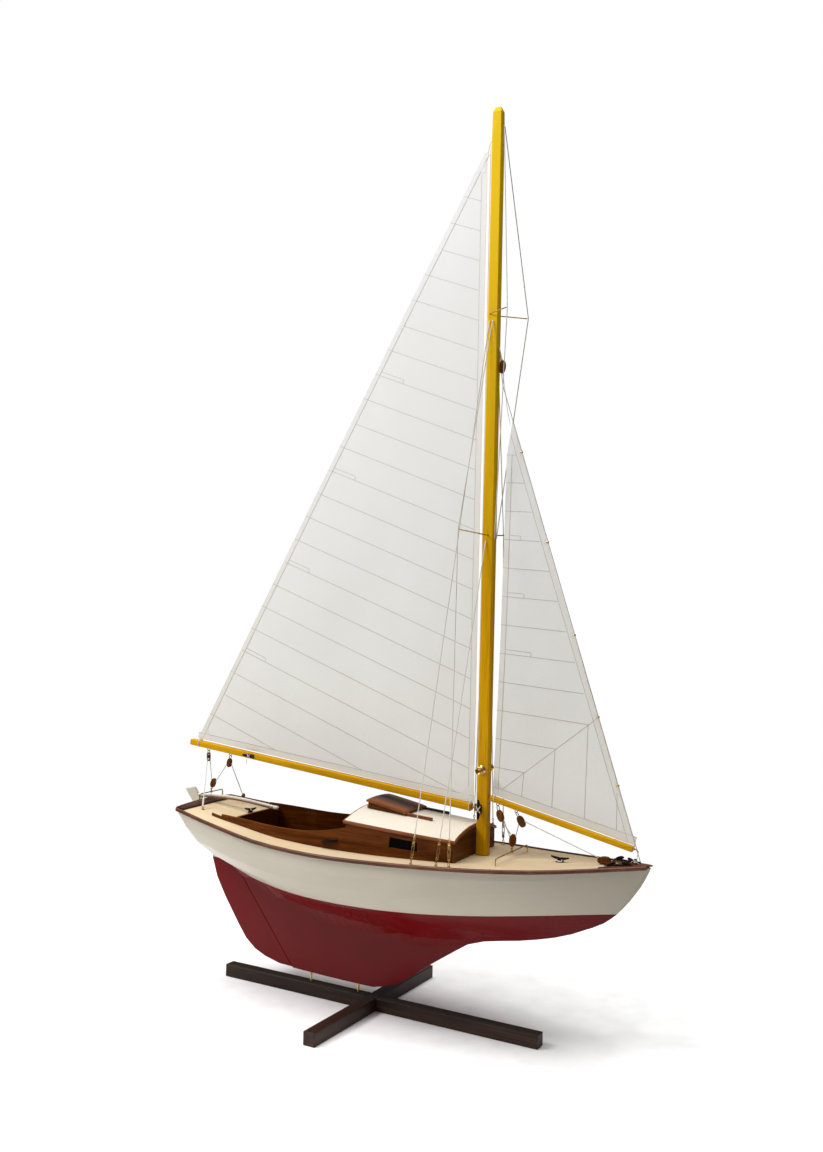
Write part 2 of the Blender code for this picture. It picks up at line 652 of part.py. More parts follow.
def build_roof():
    """Crowned cabin roof with the companionway cut out under the hatch."""
    bm = bmesh.new()
    start, end = CABIN_AFT - ROOF_EAVE, CABIN_FORE + COAMING + GAP + 0.001
    hole_aft, hole_fore = HATCH_AFT + 0.006, HATCH_FORE - 0.006
    stops = [start, hole_aft, 0.025, hole_fore, 0.085, 0.110, 0.137, end]
    steps = (-1.0, -0.7, -0.33, 0.0, 0.33, 0.7, 1.0)
    layers = []
    for rise in (0.0, ROOF):
        rows = []
        for x in stops:
            wide = coaming_y(x) + ROOF_EAVE
            row = []
            for f in steps:
                y = wide * f
                held = min(max(y, -coaming_y(x)), coaming_y(x))
                row.append(bm.verts.new((x, y, roof_z(x, held) + rise)))
            rows.append(row)
        layers.append(rows)
    low, high = layers
    open_cells = {(i, j) for i in (1, 2) for j in (2, 3)}
    for i in range(len(stops) - 1):
        for j in range(len(steps) - 1):
            if (i, j) in open_cells:
                continue
            for rows in layers:
                bm.faces.new((rows[i][j], rows[i][j + 1], rows[i + 1][j + 1], rows[i + 1][j]))
    bm.edges.ensure_lookup_table()
    rim = [edge for edge in bm.edges if len(edge.link_faces) == 1]
    partner = {}
    for low_row, high_row in zip(low, high):
        partner.update(dict(zip(low_row, high_row)))
    for edge in rim:
        a, b = edge.verts
        if a in partner and b in partner:
            bm.faces.new((a, b, partner[b], partner[a]))
    loose = [v for v in bm.verts if not v.link_faces]
    bmesh.ops.delete(bm, geom=loose, context="VERTS")
    add_mesh("cabin_roof", bm, ROOF_PAINT)


def build_hatch():
    """Sliding companionway cover and its runners."""
    def top_of_roof(x, y):
        return roof_z(x, y) + ROOF + 2.0 * GAP

    for side, label in ((-1, "starboard"), (1, "port")):
        rings = []
        for i in range(5):
            x = HATCH_AFT + (RUNNER_FORE - HATCH_AFT) * i / 4
            y = side * RUNNER_Y
            z = top_of_roof(x, abs(y) - 0.0016)
            rings.append([(x, y - 0.0016, z), (x, y + 0.0016, z),
                          (x, y + 0.0016, z + RUNNER_HEIGHT), (x, y - 0.0016, z + RUNNER_HEIGHT)])
        loft_rings("hatch_runner_" + label, rings, DARK_WOOD)
    rings = []
    skirt = RUNNER_Y + 0.0016 + GAP
    for x, rise in zip((HATCH_AFT, HATCH_FORE), HATCH_RISE):
        crown_z = top_of_roof(x, 0.0)
        low = top_of_roof(x, skirt) + GAP
        under = crown_z + RUNNER_HEIGHT - 0.0012
        lid = crown_z + rise
        rings.append([(x, -HATCH_HALF, low), (x, -skirt, low), (x, -skirt, under), (x, skirt, under),
                      (x, skirt, low), (x, HATCH_HALF, low), (x, HATCH_HALF, lid - 0.0016),
                      (x, HATCH_HALF * 0.5, lid - 0.0004), (x, -HATCH_HALF * 0.5, lid - 0.0004),
                      (x, -HATCH_HALF, lid - 0.0016)])
    hatch = loft_rings("hatch", rings, MAHOGANY)
    put_under("hatch_slide_axis", (HATCH_AFT, 0.0, top_of_roof(HATCH_AFT, 0.0)), [hatch])


# ---------------------------------------------------------------- mast and its fittings
def build_mast():
    """Square pole, slightly tapered, rounded at the truck, cross bored."""
    rings = []
    for z, scale in ((MAST_FOOT, 1.0), (0.75, 1.0), (1.28, 0.93), (1.312, 0.86), (MAST_TOP, 0.45)):
        a, b = MAST_LENGTHWISE * scale / 2.0, MAST_ACROSS * scale / 2.0
        c = 0.0012 * scale
        rings.append([(MAST_X + x, y, z) for x, y in
                      ((-a + c, -b), (a - c, -b), (a, -b + c), (a, b - c),
                       (a - c, b), (-a + c, b), (-a, b - c), (-a, -b + c))])
    mast = loft_rings("mast", rings, SPAR_PAINT)
    for label, x, z in (("spreaders", SPREADER_X, SPREADER_Z), ("strut", STRUT_X, STRUT_Z)):
        bore = add_turned("mast_bore_" + label, ((MAST_BORE, -MAST_X), (MAST_BORE, MAST_X)),
                          (x, 0.0, z), (0, 1, 0), BRASS)
        combine(mast, bore, "DIFFERENCE")
    for side, label in ((-1, "starboard"), (1, "port")):
        face = MAST_ACROSS / 2.0 + GAP
        drum = add_turned("mast_winch_" + label,
                          ((0.0058, 0.0), (0.0058, 0.0020), (0.0034, 0.0030), (0.0030, 0.0085),
                           (0.0042, 0.0105), (0.0042, 0.0120), (0.0030, 0.0128)),
                          (MAST_X, side * face, WINCH_Z), (0, side, 0), BRASS, 14)
        put_under("mast_winch_%s_axis" % label, (MAST_X, 0.0, WINCH_Z), [drum])
    plate_x = MAST_X - MAST_LENGTHWISE / 2.0 - GAP
    plate = add_box("gooseneck", (0.0012, 0.0070, 0.0130),
                    (plate_x - 0.0006, 0.0, BOOM_FORE[1]), BRASS)
    pin = add_turned("gooseneck_pin", ((0.0016, -0.0052), (0.0016, 0.0052)),
                     (SWING_X, 0.0, BOOM_FORE[1]), (0, 0, 1), BRASS)
    arm = add_mesh("gooseneck_arm", box_mesh((0.0044, 0.0022, 0.0036),
                                             (SWING_X + 0.0018, 0.0, BOOM_FORE[1])), BRASS)
    combine(plate, arm, "UNION")
    combine(plate, pin, "UNION")


def build_rigging():
    """Spreaders, jumper strut, shrouds with turnbuckles, stays."""
    sx, sy, sz = SPREADER_TIP
    in_mast = MAST_ACROSS / 2.0 + 0.001
    add_wire("spreaders", [(sx, -sy, sz), (SPREADER_X, -in_mast, SPREADER_Z),
                           (SPREADER_X, in_mast, SPREADER_Z), (sx, sy, sz)], WIRE_RADIUS, BRASS)
    jx, jy, jz = STRUT_TIP
    add_wire("jumper_strut", [(jx, -jy, jz), (STRUT_X, -in_mast, STRUT_Z), (STRUT_X, in_mast, STRUT_Z),
                              (jx, jy, jz)], WIRE_RADIUS, BRASS)
    front = MAST_X + MAST_LENGTHWISE / 2.0
    clear = SHROUD_RADIUS + 0.0009
    add_wire("jumper_stay",
             [(front + 0.0008, -0.0030, 0.7000), (jx + clear, -jy, jz), (front + 0.0012, -0.0012, 1.2900),
              (front + 0.0012, 0.0012, 1.2900), (jx + clear, jy, jz), (front + 0.0008, 0.0030, 0.7000)],
             SHROUD_RADIUS, CORD)
    face = MAST_ACROSS / 2.0 + SHROUD_RADIUS + GAP
    for side, label in ((-1, "starboard"), (1, "port")):
        starts = {"aft": (MAST_X - 0.0040, side * face, UPPER_HOLE),
                  "mid": (MAST_X - 0.0025, side * face, LOWER_HOLE),
                  "fore": (MAST_X + 0.0010, side * face, UPPER_HOLE)}
        for which, x in CHAIN_X.items():
            y = side * (half_beam(x) - CHAIN_IN)
            foot = Vector((x, y, deck_top(x, y) + CHAIN_LIFT))
            head = Vector(starts[which])
            if which == "fore":
                head = Vector((sx - clear, side * sy, sz))
            pull = (head - foot).normalized()
            add_turned("turnbuckle_%s_%s" % (which, label),
                       ((0.0024, 0.0), (0.0024, 0.0012), (0.0010, 0.0016), (0.0010, 0.0070),
                        (BARREL_RADIUS, 0.0078), (BARREL_RADIUS * 1.1, 0.0180), (BARREL_RADIUS, 0.0290),
                        (0.0010, 0.0300), (0.0010, 0.0355), (0.0018, 0.0365), (0.0012, TURNBUCKLE)),
                       foot, pull, BRASS, 8)
            low = foot + pull * (TURNBUCKLE + GAP)
            route = [low, head]
            if which == "fore":
                route = [low, head, Vector(starts["fore"])]
            add_wire("shroud_%s_%s" % (which, label), [tuple(p) for p in route], SHROUD_RADIUS, CORD)
    add_wire("forestay", [(STAY_FOOT[0], 0.0, STAY_FOOT[1]), (STAY_HEAD[0], 0.0, STAY_HEAD[1]),
                          (front + 0.0010, 0.0, 0.9720)], SHROUD_RADIUS, BRASS)


# ---------------------------------------------------------------- booms and sails
def boom_z(x):
    """Height of the main boom's axis."""
    t = (BOOM_FORE[0] - x) / (BOOM_FORE[0] - BOOM_AFT[0])
    return BOOM_FORE[1] + (BOOM_AFT[1] - BOOM_FORE[1]) * t


def block_outline(x, z):
    """Rounded egg of a block that hangs with its top at z."""
    _, width, height = BLOCK
    count = 12
    return [(x + width / 2.0 * math.sin(2.0 * math.pi * k / count),
             z - height / 2.0 + height / 2.0 * math.cos(2.0 * math.pi * k / count)) for k in range(count)]


def add_block(host, label, x, z):
    """Block under a boom, joined to it by a short strop."""
    body = add_prism("block_guide_" + label, block_outline(x, z - BLOCK_DROP), BLOCK[0], BLOCK_WOOD)
    strop = add_mesh("strop_guide_" + label, box_mesh((0.0016, 0.0016, 0.0090), (x, 0.0, z - 0.0020)), BRASS)
    combine(host, strop, "UNION")
    combine(host, body, "UNION")


def build_main():
    """Main boom with two sheet blocks, and the mainsail above it."""
    rings = []
    for x, height in ((BOOM_AFT[0], BOOM_SIZE[1]), (BOOM_FORE[0], BOOM_SIZE[0])):
        z = boom_z(x)
        h, w, c = height / 2.0, BOOM_WIDTH / 2.0, 0.001
        rings.append([(x, -w, z - h + c), (x, -w + c, z - h), (x, w - c, z - h), (x, w, z - h + c),
                      (x, w, z + h - c), (x, w - c, z + h), (x, -w + c, z + h), (x, -w, z + h - c)])
    boom = loft_rings("main_boom", rings, SPAR_PAINT)
    for label, x in zip(("aft", "fore"), MAIN_BLOCKS):
        add_block(boom, label, x, boom_z(x) - BOOM_SIZE[1] / 2.0)
    foot_z = boom_z(LUFF_X) + BOOM_SIZE[0] / 2.0 + 0.0012
    outline = [(LUFF_X, foot_z), (LUFF_X, MAIN_HEAD)]
    clew = MAIN_CLEW
    for t in (0.0, 0.125, 0.25, 0.375, 0.5, 0.625, 0.75, 0.875):
        x = LUFF_X - 0.004 + (clew[0] - LUFF_X + 0.004) * t
        z = MAIN_HEAD + (clew[1] - MAIN_HEAD) * t
        roach = 0.0025 * math.sin(math.pi * t)
        outline.append((x - roach * 0.87, z + roach * 0.5))
    outline.append(clew)
    sail = add_prism("mainsail", outline, SAIL, SAIL_CLOTH)
    put_under("main_boom_axis", (SWING_X, 0.0, BOOM_FORE[1]), [boom, sail])


def jib_boom_z(x):
    """Height of the jib boom's axis."""
    t = (x - JIB_BOOM_AFT[0]) / (JIB_BOOM_FORE[0] - JIB_BOOM_AFT[0])
    return JIB_BOOM_AFT[1] + (JIB_BOOM_FORE[1] - JIB_BOOM_AFT[1]) * t


def stay_x(z):
    """Place of the forestay at a height."""
    t = (z - STAY_FOOT[1]) / (STAY_HEAD[1] - STAY_FOOT[1])
    return STAY_FOOT[0] + (STAY_HEAD[0] - STAY_FOOT[0]) * t


def build_jib():
    """Jib boom with two sheet blocks, and the jib above it."""
    rings = []
    for x in (JIB_BOOM_AFT[0], JIB_BOOM_FORE[0]):
        z = jib_boom_z(x)
        h, c = JIB_BOOM_SIZE / 2.0, 0.0008
        rings.append([(x, -h, z - h + c), (x, -h + c, z - h), (x, h - c, z - h), (x, h, z - h + c),
                      (x, h, z + h - c), (x, h - c, z + h), (x, -h + c, z + h), (x, -h, z + h - c)])
    boom = loft_rings("jib_boom", rings, SPAR_PAINT)
    for label, x in zip(("jib_aft", "jib_fore"), JIB_BLOCKS):
        add_block(boom, label, x, jib_boom_z(x) - JIB_BOOM_SIZE / 2.0)
    behind = 0.0022
    tack_z = jib_boom_z(JIB_BOOM_FORE[0]) + JIB_BOOM_SIZE / 2.0 + 0.0014
    outline = [(JIB_BOOM_FORE[0] - 0.002, tack_z), (stay_x(tack_z + 0.006) - behind, tack_z + 0.006),
               (stay_x(JIB_HEAD) - behind, JIB_HEAD), JIB_LEECH_TOP]
    for t in (0.25, 0.5, 0.75):
        x, z = between(JIB_LEECH_TOP, JIB_CLEW, t)
        outline.append((x + 0.0022 * math.sin(math.pi * t), z))
    outline.append(JIB_CLEW)
    sail = add_prism("jib", outline, SAIL, SAIL_CLOTH)
    put_under("jib_boom_axis", (stay_x(JIB_BOOM_FORE[1]), 0.0, JIB_BOOM_FORE[1]), [boom, sail])


# ---------------------------------------------------------------- deck gear
def build_horses():
    """Brass wire horses with a travelling block on each."""
    for label, (x, half, top), seat in (("main", MAIN_HORSE, CAP_HEIGHT + GAP), ("jib", JIB_HORSE, 0.0)):
        foot = deck_top(x, half) + GAP + seat
        bend = 0.0030
        add_wire(label + "_sheet_horse",
                 [(x, -half, foot), (x, -half, top - bend), (x, -half + 0.3 * bend, top - 0.3 * bend),
                  (x, -half + bend, top), (x, half - bend, top), (x, half - 0.3 * bend, top - 0.3 * bend),
                  (x, half, top - bend), (x, half, foot)], WIRE_RADIUS, BRASS)
        ring_radius = WIRE_RADIUS + 0.0006
        bore = add_turned(label + "_ring_bore", ((ring_radius, -0.02), (ring_radius, 0.02)),
                          (x, 0.0, top), (0, 1, 0), BRASS)
        block = add_prism(label + "_sheet_block", block_outline(x, top + BLOCK_RISE), BLOCK[0], BLOCK_WOOD)
        shackle = add_mesh(label + "_shackle_guide",
                           box_mesh((0.0046, 0.0026, 0.0112), (x, 0.0, top + 0.0033)), BRASS)
        combine(block, shackle, "UNION")
        combine(block, bore, "DIFFERENCE")
        put_under(label + "_block_axis", (x, 0.0, top), [block])


def add_cleat(name, x, y, z, length, turn):
    """Two-horned cleat on a foot."""
    h = length / 2.0
    outline = [(-0.38, 0.0), (0.38, 0.0), (0.30, 0.26), (1.0, 0.56), (0.95, 0.72),
               (0.0, 0.62), (-0.95, 0.72), (-1.0, 0.56), (-0.30, 0.26)]
    cleat = add_prism(name, [(h * along, h * up) for along, up in outline], 0.0036, DARK_WOOD)
    cleat.location = (x, y, z)
    cleat.rotation_euler = (0.0, 0.0, turn)
    return cleat


def build_deck_gear():
    """Cleats, and the bow chock that leads the jib sheet."""
    for name, (x, length, turn) in (("cockpit_cleat", COCKPIT_CLEAT), ("foredeck_cleat", FOREDECK_CLEAT)):
        add_cleat(name, x, 0.0, deck_top(x, 0.0) + GAP + 0.0004, length, turn)
    x = CHOCK_X
    half = 0.0120
    base = deck_top(x + half, 0.0) + 0.0016
    add_prism("bow_chock", [(x - half, base), (x + half, base), (x + half, base + 0.0050),
                            (x + 0.004, base + 0.0065), (x - half, base + 0.0055)],
              0.0100, DARK_WOOD, bevel=0.0008)


def build_rudder():
    """Outboard rudder and tiller on the raked sternpost."""
    foot, head = Vector((RUDDER_FOOT[0], 0.0, RUDDER_FOOT[1])), Vector((RUDDER_HEAD[0], 0.0, RUDDER_HEAD[1]))
    along = (head - foot).normalized()
    aft = Vector((-along.z, 0.0, along.x))
    lead = 0.0012
    fore_edge = [foot + aft * lead, head + aft * lead]
    outline = [(fore_edge[0].x - 0.001, fore_edge[0].z + 0.0010), *RUDDER_BLADE]
    outline += [(fore_edge[1].x, fore_edge[1].z)]
    rudder = add_prism("rudder", outline, RUDDER_THICK, RUDDER_PAINT, bevel=0.0012)
    root_x, root_z = TILLER_LINE[0]
    slot = add_mesh("tiller_slot_cutter",
                    box_mesh((0.0200, TILLER_WIDE + 2.0 * GAP, TILLER_DEEP[0] + 3.0 * GAP),
                             (root_x + 0.0097, 0.0, root_z)), TILLER_WOOD)
    combine(rudder, slot, "DIFFERENCE")
    tiller_z = curve_through(TILLER_LINE)
    upper, lower = [], []
    count = 10
    for i in range(count):
        t = i / (count - 1)
        x = root_x + (TILLER_LINE[-1][0] - root_x) * t
        deep = TILLER_DEEP[0] + (TILLER_DEEP[1] - TILLER_DEEP[0]) * t
        upper.append((x, tiller_z(x) + deep / 2.0))
        lower.append((x, tiller_z(x) - deep / 2.0))
    tiller = add_prism("tiller", upper + lower[::-1], TILLER_WIDE, TILLER_WOOD, bevel=0.0005)
    put_under("rudder_axis", tuple(foot), [rudder, tiller])


def build_radio_gear():
    """Servo tray with battery, receiver and rudder servo."""
    x, length, width, thick = TRAY
    add_box("servo_tray", (length, width, thick), (x, 0.0, TRAY_Z), PLYWOOD)
    base = TRAY_Z + thick / 2.0 + GAP
    add_box("battery_pack", BATTERY, BATTERY_AT, BLACK_PLASTIC, 0.001)
    add_box("receiver", RECEIVER, (x + 0.012, RECEIVER[1], base + RECEIVER[2] / 2.0), GREY_PLASTIC, 0.001)
    add_box("rudder_servo", SERVO, (x - 0.004, SERVO_Y, base + SERVO[2] / 2.0), BLACK_PLASTIC, 0.001)
    arm_z = base + SERVO[2] + GAP
    arm = add_prism("servo_arm", [(-0.0035, -0.012), (0.0035, -0.012), (0.0045, 0.0), (0.0035, 0.012),
                                  (-0.0035, 0.012), (-0.0045, 0.0)], 0.0018, GREY_PLASTIC, "XY", 0.0009)
    arm.location = (x + 0.006, SERVO_Y, arm_z)


def build_sheets():
    """Running lines between the booms and the deck."""
    hx, _, top = MAIN_HORSE
    aft_x, fore_x = MAIN_BLOCKS
    under = BOOM_SIZE[1] / 2.0 + BLOCK_DROP + BLOCK[2] + 0.0014
    eye = (SHEET_EYE[0], SHEET_EYE[1], deck_top(*SHEET_EYE) + 0.0060)
    block_top = top + BLOCK_RISE + 0.0014
    lead = (SHEET_LEAD[0], SHEET_LEAD[1], deck_top(*SHEET_LEAD) + 0.0085)
    add_wire("main_sheet",
             [eye, (aft_x, -0.0012, boom_z(aft_x) - under), (aft_x + 0.0030, 0.0, boom_z(aft_x) - under),
              (hx - 0.0020, 0.0, block_top), (hx + 0.0030, 0.0, block_top),
              (fore_x - 0.0020, 0.0, boom_z(fore_x) - under), (fore_x + 0.0020, 0.0, boom_z(fore_x) - under),
              lead], SHEET_RADIUS, CORD)
    jx, _, jib_top = JIB_HORSE
    aft_x, fore_x = JIB_BLOCKS
    under = JIB_BOOM_SIZE / 2.0 + BLOCK_DROP + BLOCK[2] + 0.0014
    block_top = jib_top + BLOCK_RISE + 0.0014
    bow = (0.3660, 0.0, deck_top(0.3660, 0.0) + 0.0090)
    add_wire("jib_sheet",
             [(jx - 0.0030, 0.0, block_top), (aft_x - 0.0012, 0.0, jib_boom_z(aft_x) - under),
              (aft_x + 0.0024, 0.0, jib_boom_z(aft_x) - under), (jx + 0.0012, 0.0, block_top + 0.0012),
              (fore_x - 0.0020, 0.0, jib_boom_z(fore_x) - under),
              (fore_x + 0.0024, 0.0, jib_boom_z(fore_x) - under), bow], SHEET_RADIUS, CORD)


build_stand()
build_hull()
build_deck()
build_rails()
build_coamings()
build_cabin()
build_hatch()
build_mast()
build_rigging()
build_main()
build_jib()
build_horses()
build_deck_gear()
build_rudder()
build_radio_gear()
build_sheets()
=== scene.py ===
import math

import bmesh
import bpy
import numpy as np
from mathutils import Matrix, Vector, noise
from mathutils.bvhtree import BVHTree


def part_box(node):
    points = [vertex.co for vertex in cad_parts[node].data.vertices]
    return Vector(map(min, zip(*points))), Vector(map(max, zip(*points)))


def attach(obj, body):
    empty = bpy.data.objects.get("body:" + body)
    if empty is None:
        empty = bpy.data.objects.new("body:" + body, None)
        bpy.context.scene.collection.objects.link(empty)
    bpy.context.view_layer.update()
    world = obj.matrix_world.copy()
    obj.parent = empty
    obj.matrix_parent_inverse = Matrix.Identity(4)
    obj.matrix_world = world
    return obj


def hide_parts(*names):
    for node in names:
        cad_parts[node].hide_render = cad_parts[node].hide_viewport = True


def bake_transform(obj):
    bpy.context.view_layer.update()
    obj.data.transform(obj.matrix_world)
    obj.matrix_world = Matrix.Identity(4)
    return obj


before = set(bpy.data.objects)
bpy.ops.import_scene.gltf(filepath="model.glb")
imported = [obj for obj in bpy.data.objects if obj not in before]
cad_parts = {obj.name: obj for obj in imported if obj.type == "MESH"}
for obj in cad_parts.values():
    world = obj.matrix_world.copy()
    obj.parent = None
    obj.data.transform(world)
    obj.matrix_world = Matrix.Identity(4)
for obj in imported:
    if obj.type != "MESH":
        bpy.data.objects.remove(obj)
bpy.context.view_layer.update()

BOAT = "boat_on_stand"
MAIN = "main_boom"
FORE = "jib_boom"
CORD = 0.0007                     # radius of the rigging line
THIN = 0.00045                    # radius of halyards and lashings
SAME_POINT = 0.00001              # vertices nearer than this are joined
BEVEL_ANGLE = math.radians(40.0)  # sharper edges of a CAD node are rounded
BOW_X = 0.4180                    # fore end of the CAD hull
BOW_TIP = 0.4222                  # fore end of the breasthook


# ---------------------------------------------------------------- camera, lights and floor
def build_camera():
    """Camera off the boat's starboard bow, level with the middle of the sail."""
    right = Vector((0.869368, 0.493635, 0.022892))
    up = Vector((-0.012441, -0.024447, 0.999624))
    forward = Vector((-0.494009, 0.869325, 0.015112))
    place = Vector((0.87295, -1.45035, 0.62054))
    data = bpy.data.cameras.new("camera")
    data.sensor_fit = "VERTICAL"
    data.sensor_height = 36.0
    data.lens = 35.235
    data.clip_start = 0.05
    data.clip_end = 100.0
    camera = bpy.data.objects.new("camera", data)
    columns = (right, up, -forward)
    rows = [[columns[j][i] for j in range(3)] + [place[i]] for i in range(3)]
    camera.matrix_world = Matrix(rows + [[0.0, 0.0, 0.0, 1.0]])
    bpy.context.scene.collection.objects.link(camera)
    bpy.context.scene.camera = camera


def add_softbox(name, place, target, size, power):
    """Square area light that faces a point."""
    data = bpy.data.lights.new(name, "AREA")
    data.size = size
    data.energy = power
    light = bpy.data.objects.new(name, data)
    light.location = place
    light.rotation_euler = (Vector(target) - Vector(place)).to_track_quat("-Z", "Y").to_euler()
    bpy.context.scene.collection.objects.link(light)


def add_sky_panel(name, place, strength, spread):
    """Wide, even light from far away."""
    data = bpy.data.lights.new(name, "SUN")
    data.energy = strength
    data.angle = math.radians(spread)
    light = bpy.data.objects.new(name, data)
    light.rotation_euler = (-Vector(place)).to_track_quat("-Z", "Y").to_euler()
    bpy.context.scene.collection.objects.link(light)


def build_studio():
    """Pale floor, soft light from above and from the starboard side, and a faint glow all round."""
    scene = bpy.context.scene
    scene.view_settings.view_transform = "Standard"
    world = bpy.data.worlds.new("studio")
    scene.world = world
    world.use_nodes = True
    tree = world.node_tree
    seen = tree.nodes["Background"]
    seen.inputs["Color"].default_value = (1.0, 1.0, 1.0, 1.0)
    seen.inputs["Strength"].default_value = 1.0
    glow = tree.nodes.new("ShaderNodeBackground")
    glow.inputs["Color"].default_value = (1.0, 0.99, 0.97, 1.0)
    glow.inputs["Strength"].default_value = 0.13
    rays = tree.nodes.new("ShaderNodeLightPath")
    choose = tree.nodes.new("ShaderNodeMixShader")
    tree.links.new(rays.outputs["Is Camera Ray"], choose.inputs[0])
    tree.links.new(glow.outputs[0], choose.inputs[1])
    tree.links.new(seen.outputs[0], choose.inputs[2])
    tree.links.new(choose.outputs[0], tree.nodes["World Output"].inputs["Surface"])
    add_sky_panel("overhead", (-0.06, -0.06, 1.0), 3.4, 50.0)
    add_softbox("key", (-1.35, -1.15, 2.1), (0.05, 0.0, 0.90), 0.9, 45.0)
    bpy.ops.mesh.primitive_circle_add(vertices=96, radius=1.1, fill_type="NGON")
    floor = bpy.context.object
    floor.name = "studio_floor"
    floor.location.z = -0.0004
    floor.data.materials.append(plain("floor_white", (0.93, 0.93, 0.93), 0.9, bump=0.02, grain=60.0))


# ---------------------------------------------------------------- materials
WATERLINE = ((-0.331, 0.1880), (-0.303, 0.1830), (-0.235, 0.1785), (-0.137, 0.1760), (-0.090, 0.1735),
             (-0.044, 0.1705), (0.000, 0.1688), (0.0435, 0.1700), (0.115, 0.1757), (0.227, 0.1857),
             (0.305, 0.1932), (0.370, 0.1993), (0.418, 0.2030))


def node(tree, kind, sockets=None, **settings):
    """Shader node with its sockets linked or set."""
    made = tree.nodes.new("ShaderNode" + kind)
    for key, value in settings.items():
        setattr(made, key, value)
    for key, value in (sockets or {}).items():
        if isinstance(value, bpy.types.NodeSocket):
            tree.links.new(value, made.inputs[key])
        else:
            made.inputs[key].default_value = value
    return made


def start(name, roughness, metallic=0.0, coat=0.0, specular=0.22):
    """New material with its tree, shader and object coordinates."""
    made = bpy.data.materials.new(name)
    made.use_nodes = True
    tree = made.node_tree
    shader = tree.nodes["Principled BSDF"]
    shader.inputs["Roughness"].default_value = roughness
    shader.inputs["Metallic"].default_value = metallic
    shader.inputs["Coat Weight"].default_value = coat
    shader.inputs["Coat Roughness"].default_value = 0.12
    shader.inputs["Specular IOR Level"].default_value = specular
    coords = tree.nodes.new("ShaderNodeTexCoord").outputs["Object"]
    return made, tree, shader, coords


def ramp(tree, factor, stops):
    """Colour ramp over (position, colour) stops."""
    made = node(tree, "ValToRGB", {"Fac": factor})
    line = made.color_ramp
    while len(line.elements) < len(stops):
        line.elements.new(0.5)
    for element, (place, colour) in zip(line.elements, stops):
        element.position = place
        element.color = (*colour, 1.0)
    return made.outputs["Color"]


def noise_of(tree, coords, scale, detail=4.0, stretch=None, rough=0.55):
    """Noise value, with the coordinates stretched along one way."""
    if stretch is not None:
        coords = node(tree, "Mapping", {"Vector": coords, "Scale": stretch}).outputs[0]
    sockets = {"Vector": coords, "Scale": scale, "Detail": detail, "Roughness": rough}
    return node(tree, "TexNoise", sockets).outputs["Fac"]


def math_of(tree, operation, a, b=0.0, c=0.0):
    """Result of a math node on sockets or numbers."""
    made = tree.nodes.new("ShaderNodeMath")
    made.operation = operation
    for socket, value in zip(made.inputs, (a, b, c)):
        if isinstance(value, bpy.types.NodeSocket):
            tree.links.new(value, socket)
        else:
            socket.default_value = value
    return made.outputs[0]


def mix_of(tree, factor, a, b, blend="MIX"):
    """Blend of two colours."""
    made = tree.nodes.new("ShaderNodeMix")
    made.data_type = "RGBA"
    made.blend_type = blend
    for key, value in ((0, factor), (6, a), (7, b)):
        if isinstance(value, bpy.types.NodeSocket):
            tree.links.new(value, made.inputs[key])
        else:
            made.inputs[key].default_value = (*value, 1.0) if key else value
    return made.outputs[2]


def set_bump(tree, shader, height, strength, distance=0.0002):
    """Surface relief from a height."""
    made = node(tree, "Bump", {"Height": height, "Strength": strength, "Distance": distance})
    tree.links.new(made.outputs[0], shader.inputs["Normal"])


def set_rough(tree, shader, value, low, high):
    """Roughness that varies between two levels."""
    made = node(tree, "MapRange", {"Value": value, "To Min": low, "To Max": high})
    tree.links.new(made.outputs[0], shader.inputs["Roughness"])


def plain(name, colour, roughness, bump=0.1, grain=900.0, vary=0.05, coat=0.0, metallic=0.0, specular=0.18):
    """Even surface with a fine grain and slight change of tone."""
    made, tree, shader, coords = start(name, roughness, metallic, coat, specular)
    slow = noise_of(tree, coords, 22.0, 3.0)
    fine = noise_of(tree, coords, grain, 3.0)
    dark = tuple(c * (1.0 - vary) for c in colour)
    light = tuple(min(c * (1.0 + vary), 1.0) for c in colour)
    tree.links.new(ramp(tree, slow, ((0.3, dark), (0.7, light))), shader.inputs["Base Color"])
    set_rough(tree, shader, slow, roughness * 0.85, min(roughness * 1.15, 1.0))
    set_bump(tree, shader, fine, bump)
    return made


def wood(name, dark, mid, light, along=0, roughness=0.35, coat=0.05, figure=1.0, bump=0.25, specular=0.18):
    """Timber with long grain, darker pores and slow bands of tone."""
    made, tree, shader, coords = start(name, roughness, 0.0, coat, specular)
    slow = [0.10 if axis == along else 1.0 for axis in range(3)]
    long = [0.02 if axis == along else 1.0 for axis in range(3)]
    bands = noise_of(tree, coords, 42.0 * figure, 5.0, slow, 0.65)
    pores = noise_of(tree, coords, 900.0 * figure, 4.0, long, 0.7)
    streak = noise_of(tree, coords, 210.0 * figure, 3.0, long, 0.6)
    tone = math_of(tree, "ADD", math_of(tree, "MULTIPLY", bands, 0.55),
                   math_of(tree, "MULTIPLY", streak, 0.45))
    colour = ramp(tree, tone, ((0.34, dark), (0.50, mid), (0.68, light)))
    pits = ramp(tree, pores, ((0.36, tuple(c * 0.45 for c in dark)), (0.46, (1.0, 1.0, 1.0))))
    colour = mix_of(tree, 0.35, colour, pits, "MULTIPLY")
    tree.links.new(colour, shader.inputs["Base Color"])
    set_rough(tree, shader, streak, roughness * 0.8, min(roughness * 1.3, 1.0))
    set_bump(tree, shader, pores, bump, 0.00012)
    return made


